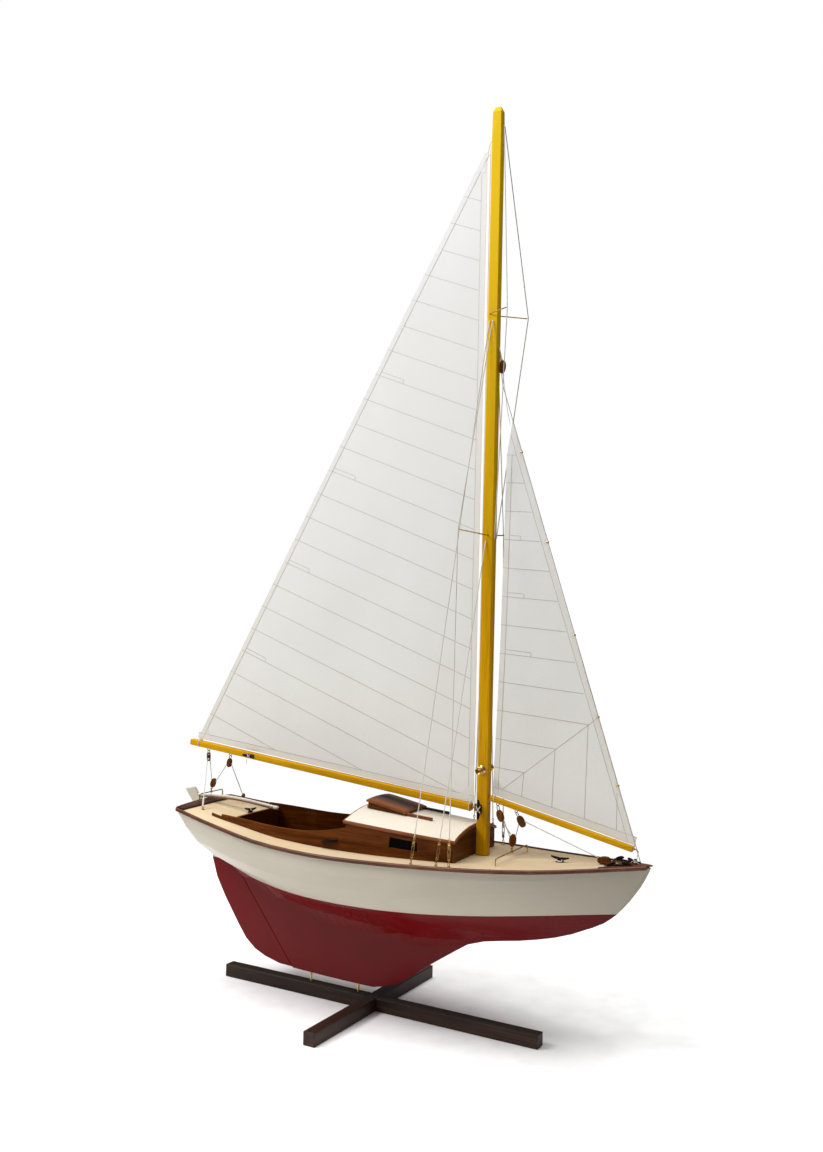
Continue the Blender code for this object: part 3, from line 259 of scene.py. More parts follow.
def paint_edge_sheen(made, inner, outer, colour):
    """Painted sheen: let a paler tone in towards the sides of a top, away from the boat's centre plane."""
    tree = made.node_tree
    shader = tree.nodes["Principled BSDF"]
    base = shader.inputs["Base Color"].links[0].from_socket
    coords = next(n for n in tree.nodes if n.type == "TEX_COORD").outputs["Object"]
    axes = node(tree, "SeparateXYZ", {"Vector": coords}).outputs
    ragged = math_of(tree, "MULTIPLY_ADD", noise_of(tree, coords, 120.0, 3.0, (0.2, 1.0, 1.0)), 0.006, -0.003)
    reach = math_of(tree, "ADD", math_of(tree, "ABSOLUTE", axes["Y"]), ragged)
    share = node(tree, "MapRange", {"Value": reach, "From Min": inner, "From Max": outer, "To Max": 0.75})
    tree.links.new(mix_of(tree, share.outputs[0], base, colour), shader.inputs["Base Color"])


def paint_highlight_upward(made, low, high, colour, most):
    """Painted highlight: let a lighter tone in little by little from one height to another, for the stronger
    light higher up.
    """
    tree = made.node_tree
    shader = tree.nodes["Principled BSDF"]
    base = shader.inputs["Base Color"].links[0].from_socket
    coords = next(n for n in tree.nodes if n.type == "TEX_COORD").outputs["Object"]
    axes = node(tree, "SeparateXYZ", {"Vector": coords}).outputs
    share = node(tree, "MapRange", {"Value": axes["Z"], "From Min": low, "From Max": high, "To Max": most})
    tree.links.new(mix_of(tree, share.outputs[0], base, colour), shader.inputs["Base Color"])


def metal(name, colour, roughness, tarnish):
    """Drawn brass, duller in slow patches."""
    made, tree, shader, coords = start(name, roughness, 1.0)
    slow = noise_of(tree, coords, 160.0, 4.0)
    fine = noise_of(tree, coords, 2600.0, 2.0)
    tree.links.new(ramp(tree, slow, ((0.35, tarnish), (0.62, colour))), shader.inputs["Base Color"])
    set_rough(tree, shader, slow, roughness * 1.5, roughness * 0.8)
    set_bump(tree, shader, fine, 0.12, 0.00005)
    return made


def hull_paint(name):
    """Cream topsides over a dark red bottom, split at the waterline, with painted shade that darkens both
    paints towards the bow.
    """
    made, tree, shader, coords = start(name, 0.28, 0.0, 0.02, 0.12)
    axes = node(tree, "SeparateXYZ", {"Vector": coords}).outputs
    fit = np.polyfit([k[0] for k in WATERLINE], [k[1] for k in WATERLINE], 4)
    rise = float(fit[0])
    for factor in fit[1:]:
        rise = math_of(tree, "MULTIPLY_ADD", rise, axes["X"], float(factor))
    above = math_of(tree, "SUBTRACT", axes["Z"], rise)
    side = node(tree, "MapRange", {"Value": above, "From Min": -0.00025, "From Max": 0.00025}).outputs[0]
    slow = noise_of(tree, coords, 8.0, 4.0)
    fine = noise_of(tree, coords, 420.0, 3.0)
    cream = ramp(tree, slow, ((0.30, (0.500, 0.458, 0.370)), (0.70, (0.545, 0.502, 0.410))))
    red = ramp(tree, slow, ((0.30, (0.122, 0.0018, 0.0028)), (0.70, (0.155, 0.0030, 0.0040))))
    # Painted shade: cream and red both darken towards the bow, where the hull turns away from the light.
    bow_painted_shade = node(tree, "MapRange", {"Value": axes["X"], "From Min": 0.08, "From Max": 0.40}).outputs[0]
    cream = mix_of(tree, bow_painted_shade, cream, (0.370, 0.333, 0.268))
    red = mix_of(tree, bow_painted_shade, red, (0.092, 0.0016, 0.0024))
    tree.links.new(mix_of(tree, side, red, cream), shader.inputs["Base Color"])
    set_rough(tree, shader, slow, 0.24, 0.34)
    set_bump(tree, shader, fine, 0.10, 0.00008)
    return made


def deck_paint(name):
    """Cream varnished ply with faint grain, and a seam down the middle of the aft deck."""
    made, tree, shader, coords = start(name, 0.38, 0.0, 0.04, 0.18)
    grain = noise_of(tree, coords, 300.0, 4.0, (0.03, 1.0, 1.0))
    slow = noise_of(tree, coords, 14.0, 3.0, (0.4, 1.0, 1.0))
    tone = math_of(tree, "ADD", math_of(tree, "MULTIPLY", grain, 0.4), math_of(tree, "MULTIPLY", slow, 0.6))
    colour = ramp(tree, tone, ((0.32, (0.520, 0.390, 0.235)), (0.52, (0.580, 0.450, 0.285)),
                               (0.70, (0.640, 0.510, 0.335))))
    axes = node(tree, "SeparateXYZ", {"Vector": coords}).outputs
    off_centre = math_of(tree, "ABSOLUTE", axes["Y"])
    seam = math_of(tree, "LESS_THAN", off_centre, 0.00030)
    tree.links.new(mix_of(tree, math_of(tree, "MULTIPLY", seam, 0.65), colour, (0.25, 0.14, 0.07)),
                   shader.inputs["Base Color"])
    set_rough(tree, shader, grain, 0.32, 0.46)
    set_bump(tree, shader, grain, 0.12, 0.0001)
    return made


def sailcloth(name, low, high, weave=1.0):
    """Closely woven cloth: two crossed sets of threads, with faint slubs and creases."""
    made, tree, shader, coords = start(name, 0.78, 0.0, 0.0, 0.25)
    shader.inputs["Sheen Weight"].default_value = 0.25
    shader.inputs["Sheen Roughness"].default_value = 0.5
    axes = node(tree, "SeparateXYZ", {"Vector": coords}).outputs
    pitch = 2.0 * math.pi / (0.00075 * weave)
    warp = math_of(tree, "SINE", math_of(tree, "MULTIPLY", axes["X"], pitch))
    weft = math_of(tree, "SINE", math_of(tree, "MULTIPLY", axes["Z"], pitch))
    threads = math_of(tree, "ADD", warp, weft)
    slubs = noise_of(tree, coords, 800.0, 3.0, (1.0, 1.0, 0.55))
    slow = noise_of(tree, coords, 7.0, 5.0, None, 0.6)
    creases = noise_of(tree, coords, 16.0, 3.0, (1.0, 1.0, 0.70))
    tone = math_of(tree, "ADD", math_of(tree, "MULTIPLY", slubs, 0.35), math_of(tree, "MULTIPLY", slow, 0.65))
    tree.links.new(ramp(tree, tone, ((0.35, low), (0.65, high))), shader.inputs["Base Color"])
    relief = math_of(tree, "ADD", math_of(tree, "MULTIPLY", threads, 0.10),
                     math_of(tree, "MULTIPLY", slubs, 0.25))
    weave_bump = node(tree, "Bump", {"Height": relief, "Strength": 0.30, "Distance": 0.00012})
    crease_bump = node(tree, "Bump", {"Height": creases, "Strength": 0.22, "Distance": 0.0030,
                                      "Normal": weave_bump.outputs[0]})
    tree.links.new(crease_bump.outputs[0], shader.inputs["Normal"])
    return made


def laid_cord(name, low, high, pitch=0.0032):
    """Three-strand line: strands wind round along the tube's own coordinates."""
    made, tree, shader, _ = start(name, 0.8, 0.0, 0.0, 0.2)
    place = tree.nodes.new("ShaderNodeUVMap").outputs[0]
    axes = node(tree, "SeparateXYZ", {"Vector": place}).outputs
    turns = math_of(tree, "MULTIPLY_ADD", axes["X"], 2.0 * math.pi / pitch,
                    math_of(tree, "MULTIPLY", axes["Y"], 6.0 * math.pi))
    strand = math_of(tree, "SINE", turns)
    tree.links.new(ramp(tree, math_of(tree, "MULTIPLY_ADD", strand, 0.5, 0.5), ((0.1, low), (0.7, high))),
                   shader.inputs["Base Color"])
    set_bump(tree, shader, strand, 0.5, 0.00015)
    return made


M = {}


def build_materials():
    """Every finish on the boat and its stand."""
    M["stand_x"] = wood("stand_wood_long", (0.012, 0.006, 0.004), (0.030, 0.015, 0.010),
                        (0.062, 0.032, 0.020),
                        0, 0.42, 0.03)
    M["stand_y"] = wood("stand_wood_cross", (0.012, 0.006, 0.004), (0.030, 0.015, 0.010),
                        (0.062, 0.032, 0.020),
                        1, 0.42, 0.03)
    M["brass"] = metal("brass_wire", (0.72, 0.50, 0.19), 0.26, (0.42, 0.28, 0.11))
    M["bright_brass"] = metal("brass_turned", (0.66, 0.44, 0.17), 0.24, (0.34, 0.21, 0.07))
    M["dull"] = metal("aged_wire", (0.120, 0.085, 0.050), 0.38, (0.045, 0.030, 0.018))
    M["stay_wire"] = metal("stay_wire", (0.78, 0.74, 0.64), 0.42, (0.60, 0.56, 0.48))
    M["hull"] = hull_paint("hull_paint")
    M["deck"] = deck_paint("deck_cream")
    M["rail"] = wood("rail_brown", (0.055, 0.018, 0.009), (0.110, 0.038, 0.019), (0.190, 0.075, 0.040), 0,
                     0.35, 0.08)
    M["cap"] = wood("cap_brown", (0.024, 0.010, 0.007), (0.050, 0.019, 0.012), (0.090, 0.036, 0.022), 1,
                    0.32, 0.08)
    M["mahogany"] = wood("mahogany_long", (0.050, 0.011, 0.0010), (0.110, 0.027, 0.0018),
                         (0.200, 0.058, 0.0050),
                         0, 0.36, 0.02, 1.0, 0.25, 0.10)
    M["mahogany_y"] = wood("mahogany_cross", (0.045, 0.011, 0.0012), (0.095, 0.025, 0.0020),
                           (0.165, 0.050, 0.0050),
                           1, 0.36, 0.02, 1.0, 0.25, 0.10)
    M["mahogany_light"] = wood("mahogany_moulding", (0.120, 0.030, 0.009), (0.200, 0.058, 0.018),
                               (0.290, 0.095, 0.032), 0, 0.34, 0.04)
    M["hatch_top"] = wood("hatch_top", (0.026, 0.011, 0.008), (0.060, 0.028, 0.021), (0.125, 0.072, 0.060),
                          0, 0.30, 0.05, 1.2)
    # Painted sheen: the lid's top turns paler towards its sides, standing in for reflected light.
    paint_edge_sheen(M["hatch_top"], 0.0120, 0.0200, (0.235, 0.080, 0.036))
    M["roof"] = plain("roof_white", (0.660, 0.600, 0.505), 0.40, 0.10, 700.0, 0.02, 0.02)
    M["dark"] = wood("dark_fittings", (0.008, 0.003, 0.003), (0.020, 0.008, 0.007), (0.042, 0.017, 0.014),
                     0, 0.34, 0.0, 1.0, 0.25, 0.06)
    yellow = ((0.500, 0.245, 0.0001), (0.585, 0.295, 0.0002), (0.660, 0.350, 0.0006))
    M["spar_x"] = wood("spar_yellow_boom", *yellow, 0, 0.42, 0.0, 1.0, 0.12, 0.10)
    M["spar_z"] = wood("spar_yellow_mast", *yellow, 2, 0.42, 0.0, 1.0, 0.12, 0.10)
    # Painted highlight: the mast's yellow lightens towards its top, where the light falls stronger.
    paint_highlight_upward(M["spar_z"], 0.60, 1.20, (0.930, 0.600, 0.0010), 1.0)
    M["sail"] = sailcloth("sail_cloth", (0.690, 0.675, 0.630), (0.745, 0.732, 0.692))
    # Painted highlight: the sail cloth and its hems lighten towards the head, where the light falls stronger.
    paint_highlight_upward(M["sail"], 0.40, 1.15, (0.930, 0.926, 0.912), 1.0)
    M["hem"] = sailcloth("sail_hem", (0.660, 0.632, 0.565), (0.722, 0.698, 0.635))
    paint_highlight_upward(M["hem"], 0.40, 1.15, (0.930, 0.922, 0.900), 1.0)
    M["seam"] = plain("seam_thread", (0.40, 0.36, 0.33), 0.85, 0.3, 3000.0, 0.15)
    # Painted highlight: the seam thread lightens towards the head in the same way.
    paint_highlight_upward(M["seam"], 0.40, 1.05, (0.640, 0.620, 0.600), 1.0)
    M["cord"] = laid_cord("rigging_cord", (0.64, 0.61, 0.54), (0.76, 0.73, 0.66), 0.0024)
    M["thin_cord"] = laid_cord("thin_cord", (0.62, 0.60, 0.55), (0.74, 0.72, 0.67), 0.0018)
    M["block"] = wood("block_wood", (0.040, 0.010, 0.0010), (0.130, 0.040, 0.0040), (0.280, 0.105, 0.016),
                      2, 0.30, 0.02, 2.4, 0.25, 0.10)
    M["tiller"] = wood("tiller_pale", (0.500, 0.440, 0.340), (0.640, 0.590, 0.490), (0.740, 0.700, 0.610),
                       0, 0.34, 0.05, 1.0, 0.1)
    M["tiller_core"] = wood("tiller_core", (0.120, 0.045, 0.025), (0.210, 0.090, 0.050),
                            (0.300, 0.140, 0.080),
                            0, 0.34, 0.05)
    M["window"] = plain("window_dark", (0.0022, 0.0022, 0.0026), 0.30, 0.02, 300.0, 0.3, 0.0, 0.0, 0.03)
    M["black"] = plain("black_plastic", (0.018, 0.018, 0.020), 0.45, 0.25, 1500.0, 0.1)
    M["grey"] = plain("grey_plastic", (0.20, 0.21, 0.23), 0.45, 0.25, 1500.0, 0.06)
    M["ply"] = wood("tray_ply", (0.36, 0.23, 0.11), (0.50, 0.34, 0.18), (0.62, 0.45, 0.26), 0, 0.6, 0.0)
    M["lead"] = plain("lead_ballast", (0.14, 0.14, 0.15), 0.6, 0.5, 260.0, 0.25, 0.0, 0.7)


# ---------------------------------------------------------------- mesh building
class Piece:
    """Gathers the faces of one visible piece, then makes its object."""

    def __init__(self):
        self.bm = bmesh.new()
        self.uv = self.bm.loops.layers.uv.new("UVMap")

    def loft(self, rings, slot=0, caps=True, closed=True, lengths=None):
        """Skin through rings of equal length."""
        rows = [[self.bm.verts.new(p) for p in ring] for ring in rings]
        count = len(rows[0])
        last = count if closed else count - 1
        for k, (near, far) in enumerate(zip(rows, rows[1:])):
            for i in range(last):
                j = (i + 1) % count
                face = self.bm.faces.new((near[i], near[j], far[j], far[i]))
                face.material_index = slot
                face.smooth = True
                if lengths is not None:
                    corners = ((lengths[k], i), (lengths[k], i + 1), (lengths[k + 1], i + 1),
                               (lengths[k + 1], i))
                    for loop, (u, v) in zip(face.loops, corners):
                        loop[self.uv].uv = (u, v / count)
        if caps:
            for row in (rows[0], rows[-1]):
                face = self.bm.faces.new(row)
                face.material_index = slot
        return self

    def tube(self, path, radius, slot=0, sides=8, radii=None):
        """Round bar or line along a path, with its length in the coordinates."""
        points = [Vector(p) for p in path]
        tangents = []
        for i, point in enumerate(points):
            before = points[max(i - 1, 0)]
            after = points[min(i + 1, len(points) - 1)]
            tangents.append((after - before).normalized())
        side = tangents[0].orthogonal().normalized()
        rings, lengths, run = [], [], 0.0
        for i, (point, tangent) in enumerate(zip(points, tangents)):
            side = (side - tangent * side.dot(tangent)).normalized()
            other = tangent.cross(side)
            if i:
                run += (point - points[i - 1]).length
            size = radius if radii is None else radii[i]
            rings.append([point + (side * math.cos(a) + other * math.sin(a)) * size
                          for a in (2.0 * math.pi * k / sides for k in range(sides))])
            lengths.append(run)
        return self.loft(rings, slot, True, True, lengths)

    def turned(self, profile, origin, axis, slot=0, sides=20):
        """Solid of revolution: (radius, distance along the axis)."""
        turn = Matrix.Translation(origin) @ Vector(axis).to_track_quat("Z", "Y").to_matrix().to_4x4()
        rings = []
        for radius, along in profile:
            rings.append([turn @ Vector((radius * math.cos(a), radius * math.sin(a), along))
                          for a in (2.0 * math.pi * k / sides for k in range(sides))])
        return self.loft(rings, slot)

    def bar(self, stations, slot=0, edge=0.25, up=(0.0, 0.0, 1.0)):
        """Bar of rounded rectangular section: stations of (place, width, depth)."""
        rings = []
        places = [Vector(s[0]) for s in stations]
        for i, (place, width, depth) in enumerate(stations):
            before, after = places[max(i - 1, 0)], places[min(i + 1, len(places) - 1)]
            along = (after - before).normalized()
            side = along.cross(Vector(up)).normalized()
            top = side.cross(along).normalized()
            ring = []
            for sx, sy in ((-1, -1), (1, -1), (1, 1), (-1, 1)):
                corner = min(width, depth) * edge
                for step in range(4):
                    a = math.pi / 2.0 * (step / 3.0) + {(-1, -1): math.pi, (1, -1): 1.5 * math.pi,
                                                       (1, 1): 0.0, (-1, 1): 0.5 * math.pi}[(sx, sy)]
                    x = sx * (width / 2.0 - corner) + corner * math.cos(a)
                    y = sy * (depth / 2.0 - corner) + corner * math.sin(a)
                    ring.append(Vector(place) + side * x + top * y)
            rings.append(ring)
        return self.loft(rings, slot)

    def torus(self, centre, axis, major, minor, slot=0, sides=8, steps=20):
        """Closed ring of round wire."""
        turn = Vector(axis).to_track_quat("Z", "Y").to_matrix()
        rows = []
        for k in range(steps):
            a = 2.0 * math.pi * k / steps
            spoke = turn @ Vector((math.cos(a), math.sin(a), 0.0))
            lift = turn @ Vector((0.0, 0.0, 1.0))
            rows.append([self.bm.verts.new(Vector(centre) + spoke * (major + minor * math.cos(b))
                                           + lift * (minor * math.sin(b)))
                         for b in (2.0 * math.pi * j / sides for j in range(sides))])
        for k in range(steps):
            near, far = rows[k], rows[(k + 1) % steps]
            for j in range(sides):
                face = self.bm.faces.new((near[j], near[(j + 1) % sides], far[(j + 1) % sides], far[j]))
                face.material_index = slot
                face.smooth = True
        return self

    def done(self, name, finishes, body, slot=None, stands_for=(), angle=35.0, ride=True):
        """Object with its finishes, riding on a body."""
        bmesh.ops.recalc_face_normals(self.bm, faces=self.bm.faces)
        mesh = bpy.data.meshes.new(name)
        self.bm.to_mesh(mesh)
        self.bm.free()
        for finish in finishes:
            mesh.materials.append(M[finish])
        mesh.shade_smooth()
        mesh.set_sharp_from_angle(angle=math.radians(angle))
        obj = bpy.data.objects.new(name, mesh)
        bpy.context.scene.collection.objects.link(obj)
        if ride:
            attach(obj, body)
        if stands_for:
            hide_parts(*stands_for)
        return obj


def top_of(name, x, y):
    """Height of a CAD node's upper face over a point."""
    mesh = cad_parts[name].data
    tree = BVHTree.FromPolygons([v.co for v in mesh.vertices], [p.vertices for p in mesh.polygons])
    hit = tree.ray_cast(Vector((x, y, 2.0)), Vector((0.0, 0.0, -1.0)))[0]
    return hit.z


def dense(path, step=0.012):
    """The same line with points no further apart than a step."""
    out = [Vector(path[0])]
    for a, b in zip(path, path[1:]):
        a, b = Vector(a), Vector(b)
        count = max(1, math.ceil((b - a).length / step))
        out += [a.lerp(b, (k + 1) / count) for k in range(count)]
    return out


# ---------------------------------------------------------------- lines of the boat
BOOM_FORE = (0.1565, 0.3172)
BOOM_AFT = (-0.3620, 0.3668)
JIB_AFT = (0.1856, 0.3335)
JIB_FORE = (0.3955, 0.2883)
STAY_FOOT = (0.4068, 0.2694)
STAY_HEAD = (0.1906, 0.9190)
MAST_X = 0.1752
MAST_HALF = (0.0085, 0.0062)        # half of the mast's section
SPREADER_TIP = (0.1641, 0.0740, 0.7095)
STRUT_TIP = (0.2105, 0.0362, 1.0195)
RUDDER_AXIS = ((-0.1440, 0.0350), (-0.3520, 0.2942))
DECK_EYE = (-0.2970, -0.0460)       # the main sheet starts here
LEAD_BLOCK = (-0.2950, 0.0540)      # and ends at this block on the deck
# x and top of each horse
HORSE_MAIN = (-0.3185, 0.2885)
HORSE_JIB = (0.2205, 0.2620)
# for each block on a boom: x, drop below the boom's middle, lean, yaw, and how far its ring is off in x
MAIN_BLOCKS = ((-0.3258, 0.0188, 0.0, -0.74, 0.0), (-0.2826, 0.0203, 0.15, 0.05, 0.0021))
JIB_BLOCKS = ((0.2015, 0.0204, -0.37, 0.10, -0.0042), (0.2338, 0.0176, -0.55, 0.05, -0.0080))
MAIN_SCALE = 0.90
JIB_SCALE = 1.05
SHEAVE = 0.0030                   # radius of the line round a sheave
BLOCK_A = 0.0044                  # half width and half height of a sheet block
BLOCK_B = 0.0080
# heights at which a sheet would pass from following the boat to following its boom; add_cord takes them only
# as a sign to bake the sheet in place on no body
MAIN_SHEET_BEND = ((0, 0, 0.280), (0, 0, 0.340))
JIB_SHEET_BEND = ((0, 0, 0.272), (0, 0, 0.300))
# middle of each travelling block
TRAVEL_MAIN = (HORSE_MAIN[0] + 0.0037, 0.0, HORSE_MAIN[1] + 0.0146)
TRAVEL_JIB = (HORSE_JIB[0] + 0.0008, 0.0, HORSE_JIB[1] + 0.0158)


def on_line(a, b, x):
    """Height of a sloping line at x."""
    return a[1] + (b[1] - a[1]) * (x - a[0]) / (b[0] - a[0])


def boom_z(x):
    """Height of the main boom's middle line at x."""
    return on_line(BOOM_AFT, BOOM_FORE, x)


def jib_boom_z(x):
    """Height of the jib boom's middle line at x."""
    return on_line(JIB_AFT, JIB_FORE, x)


def stay_x(z):
    """Where the forestay is at height z."""
    return STAY_FOOT[0] + (STAY_HEAD[0] - STAY_FOOT[0]) * (z - STAY_FOOT[1]) / (STAY_HEAD[1] - STAY_FOOT[1])


# ---------------------------------------------------------------- cords
def add_cord(name, path, body, radius=CORD, finish="cord", stands_for=(), bend=None):
    """Line of the rig, with its real length along its coordinates."""
    points = dense(path, 0.015)
    line = Piece().tube(points, radius, 0, 8)
    obj = line.done(name, (finish,), body, "cord_off_white", stands_for, 180.0, ride=bend is None)
    if bend is not None:
        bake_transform(obj)
    return obj


def build_shrouds():
    """Three shrouds a side, each on its own turnbuckle."""
    face = MAST_HALF[1] + CORD + 0.0003
    heads = {"aft": (MAST_X - 0.0040, 1.0115), "mid": (MAST_X - 0.0025, 0.6972),
             "fore": (MAST_X + 0.0010, 1.0115)}
    for side, label in ((-1, "starboard"), (1, "port")):
        for which, (hx, hz) in heads.items():
            node_name = "turnbuckle_%s_%s" % (which, label)
            head = Vector((hx, side * face, hz))
            if which == "fore":
                head = Vector((SPREADER_TIP[0] - CORD - 0.0009, side * SPREADER_TIP[1], SPREADER_TIP[2]))
            foot = chain_foot(node_name, head)
            pull = (head - foot).normalized()
            build_turnbuckle(node_name, foot, pull)
            eye = foot + pull * 0.0375
            route = [eye, head]
            if which == "fore":
                route.append(Vector((hx, side * face, hz)))
            add_cord("line_shroud_%s_%s" % (which, label), route, BOAT,
                     stands_for=("shroud_%s_%s" % (which, label),))


def chain_foot(node_name, head):
    """Lower end of a turnbuckle, from its box and the way it leans."""
    low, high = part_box(node_name)
    flange = 0.0024
    y = low.y + flange if high.y < 0.0 else high.y - flange
    x = low.x + flange if head.x > (low.x + high.x) / 2.0 else high.x - flange
    return Vector((x, y, low.z))


def build_turnbuckle(name, foot, pull):
    """Open brass bottle screw: deck eye, lower fork, two side rods and top eye."""
    across = pull.cross(Vector((0.0, 1.0, 0.0))).normalized()
    piece = Piece()
    piece.turned(((0.0026, -0.0004), (0.0026, 0.0006), (0.0016, 0.0012), (0.0013, 0.0022)), foot, (0, 0, 1),
                 0, 14)
    piece.torus(foot + pull * 0.0038, (0.0, 1.0, 0.0), 0.0015, 0.0005)
    piece.tube([foot + pull * 0.0050, foot + pull * 0.0095], 0.0009, 0, 8)
    piece.turned(((0.0010, 0.0), (0.0019, 0.0006), (0.0021, 0.0020), (0.0016, 0.0032)),
                 foot + pull * 0.0090, pull)
    for way in (-1.0, 1.0):
        offset = across * 0.00165 * way
        piece.tube([foot + pull * 0.0115 + offset * 0.7, foot + pull * 0.0150 + offset,
                    foot + pull * 0.0265 + offset, foot + pull * 0.0300 + offset * 0.7], 0.00065, 0, 8)
    piece.tube([foot + pull * 0.0110, foot + pull * 0.0180], 0.0007, 0, 8)
    piece.tube([foot + pull * 0.0235, foot + pull * 0.0305], 0.0007, 0, 8)
    piece.turned(((0.0016, 0.0), (0.0021, 0.0010), (0.0019, 0.0026), (0.0010, 0.0032)),
                 foot + pull * 0.0292, pull)
    piece.tube([foot + pull * 0.0320, foot + pull * 0.0350], 0.0008, 0, 8)
    piece.torus(foot + pull * 0.0366, (0.0, 1.0, 0.0), 0.0015, 0.0005)
    piece.done("bottle_screw_" + name[11:], ("bright_brass",), BOAT, "brass", (name,))


def build_stays():
    """Forestay wire, and the jumper stay over its strut."""
    front = MAST_X + MAST_HALF[0]
    jx, jy, jz = STRUT_TIP
    clear = CORD + 0.0009
    add_cord("line_forestay", [(STAY_FOOT[0], 0.0, STAY_FOOT[1]), (STAY_HEAD[0], 0.0, STAY_HEAD[1]),
                               (front + 0.0010, 0.0, 0.9720)], BOAT, 0.0006, "stay_wire", ("forestay",))
    add_cord("line_jumper_stay",
             [(front + 0.0008, -0.0030, 0.7000), (jx + clear, -jy, jz), (front + 0.0012, -0.0012, 1.2900),
              (front + 0.0012, 0.0012, 1.2900), (jx + clear, jy, jz), (front + 0.0008, 0.0030, 0.7000)],
             BOAT, CORD, "cord", ("jumper_stay",))


def build_sheets():
    """Main and jib sheets, each rove through its blocks."""
    aft, fore = (main_block_at(spot) for spot in MAIN_BLOCKS)
    low = TRAVEL_MAIN
    eye = (*DECK_EYE, top_of("deck", *DECK_EYE) + 0.0045)
    lead = (LEAD_BLOCK[0], 0.0552, top_of("deck", *LEAD_BLOCK) + 0.0068)
    path = [eye, *sheave_arc(aft, 200.0, 0.0, (0.0, 1.0, 0.0)), *sheave_arc(low, 180.0, 360.0),
            *sheave_arc(fore, 180.0, 0.0), lead]
    add_cord("line_main_sheet", path, MAIN, stands_for=("main_sheet",), bend=MAIN_SHEET_BEND)
    low_corner, high_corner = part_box("cockpit_cleat")
    middle = (low_corner + high_corner) / 2.0
    add_cord("line_main_sheet_tail",
             [(-0.2942, 0.0530, lead[2] - 0.0030), (-0.2700, 0.0280, middle.z + 0.0006),
                                      (middle.x - 0.0010, 0.0016, middle.z - 0.0008)], BOAT, THIN,
             "thin_cord")
    aft, fore = (jib_block_at(spot) for spot in JIB_BLOCKS)
    low = TRAVEL_JIB
    bow = (0.3500, 0.0, top_of("deck", 0.3550, 0.0) + 0.0072)
    path = [(low[0] - 0.0034, 0.0, low[2] + 0.0084), *sheave_arc(aft, 200.0, 0.0),
            *sheave_arc(low, 170.0, 360.0),
            *sheave_arc(fore, 180.0, 30.0), bow]
    add_cord("line_jib_sheet", path, FORE, stands_for=("jib_sheet",), bend=JIB_SHEET_BEND)


# ---------------------------------------------------------------- sails
LUFF_X = 0.1590
MAIN_HEAD = 1.2577
MAIN_CLEW = (-0.3480, 0.3735)
JIB_LUFF_GAP = 0.0011
JIB_HEAD = 0.8660
JIB_LEECH_TOP = (0.1995, 0.8190)
JIB_CLEW = (0.1893, 0.3388)
CLOTH = 0.00025


def draft(x, z, phase):
    """How far the cloth stands off the boat's centre plane."""
    broad = noise.noise(Vector((x * 7.0, phase, z * 4.0)))
    small = noise.noise(Vector((x * 22.0 + z * 6.0, phase + 7.0, z * 9.0)))
    return 0.0016 * broad + 0.0004 * small


def main_leech(t):
    """Point on the leech, t from head to clew, with its slight roach."""
    x = LUFF_X - 0.004 + (MAIN_CLEW[0] - LUFF_X + 0.004) * t
    z = MAIN_HEAD + (MAIN_CLEW[1] - MAIN_HEAD) * t
    roach = 0.0025 * math.sin(math.pi * t)
    return x - roach * 0.87, z + roach * 0.5


def main_foot_z(x):
    """Lower edge of the mainsail."""
    tack = boom_z(LUFF_X) + 0.0066
    return tack + (MAIN_CLEW[1] - tack) * (LUFF_X - x) / (LUFF_X - MAIN_CLEW[0])


def jib_tack():
    z = jib_boom_z(JIB_FORE[0]) + 0.0052
    return jib_luff(z), z


def jib_leech(t):
    """Point on the jib's leech, t from its head to its clew."""
    x = JIB_LEECH_TOP[0] + (JIB_CLEW[0] - JIB_LEECH_TOP[0]) * t
    z = JIB_LEECH_TOP[1] + (JIB_CLEW[1] - JIB_LEECH_TOP[1]) * t
    return x + 0.0022 * math.sin(math.pi * t), z


def jib_luff(z):
    return stay_x(z) - JIB_LUFF_GAP


def cloth(name, rows, phase, body, slot, stands_for):
    """Thin closed cloth through rows of (x, z) points."""
    piece = Piece()
    front = [[(x, draft(x, z, phase) - CLOTH, z) for x, z in row] for row in rows]
    back = [[(x, draft(x, z, phase) + CLOTH, z) for x, z in row] for row in rows]
    rings = [f + b[::-1] for f, b in zip(front, back)]
    piece.loft(rings)
    return piece.done(name, ("sail",), body, slot, stands_for, 60.0)


def tape(piece, a, b, phase, lift, slot=0):
    """Flat strip between two lines of (x, z) points, lying on both faces of the cloth."""
    thick = 0.00012
    for face in (-1.0, 1.0):
        rings = []
        for (ax, az), (bx, bz) in zip(a, b):
            ya, yb = draft(ax, az, phase), draft(bx, bz, phase)
            low, high = face * (CLOTH + lift), face * (CLOTH + lift + thick)
            rings.append([(ax, ya + low, az), (bx, yb + low, bz), (bx, yb + high, bz), (ax, ya + high, az)])
        piece.loft(rings, slot)


def line_points(a, b, steps):
    return [(a[0] + (b[0] - a[0]) * k / steps, a[1] + (b[1] - a[1]) * k / steps) for k in range(steps + 1)]


def shifted(points, distance):
    """The same line moved sideways by a distance."""
    out = []
    for i, (x, z) in enumerate(points):
        px, pz = points[max(i - 1, 0)]
        qx, qz = points[min(i + 1, len(points) - 1)]
        size = math.hypot(qx - px, qz - pz)
        out.append((x - (qz - pz) / size * distance, z + (qx - px) / size * distance))
    return out


def thread(piece, points, phase, width=0.0007, lift=0.00002, slot=0):
    """Row of stitching along a line."""
    tape(piece, shifted(points, -width / 2.0), shifted(points, width / 2.0), phase, lift, slot)


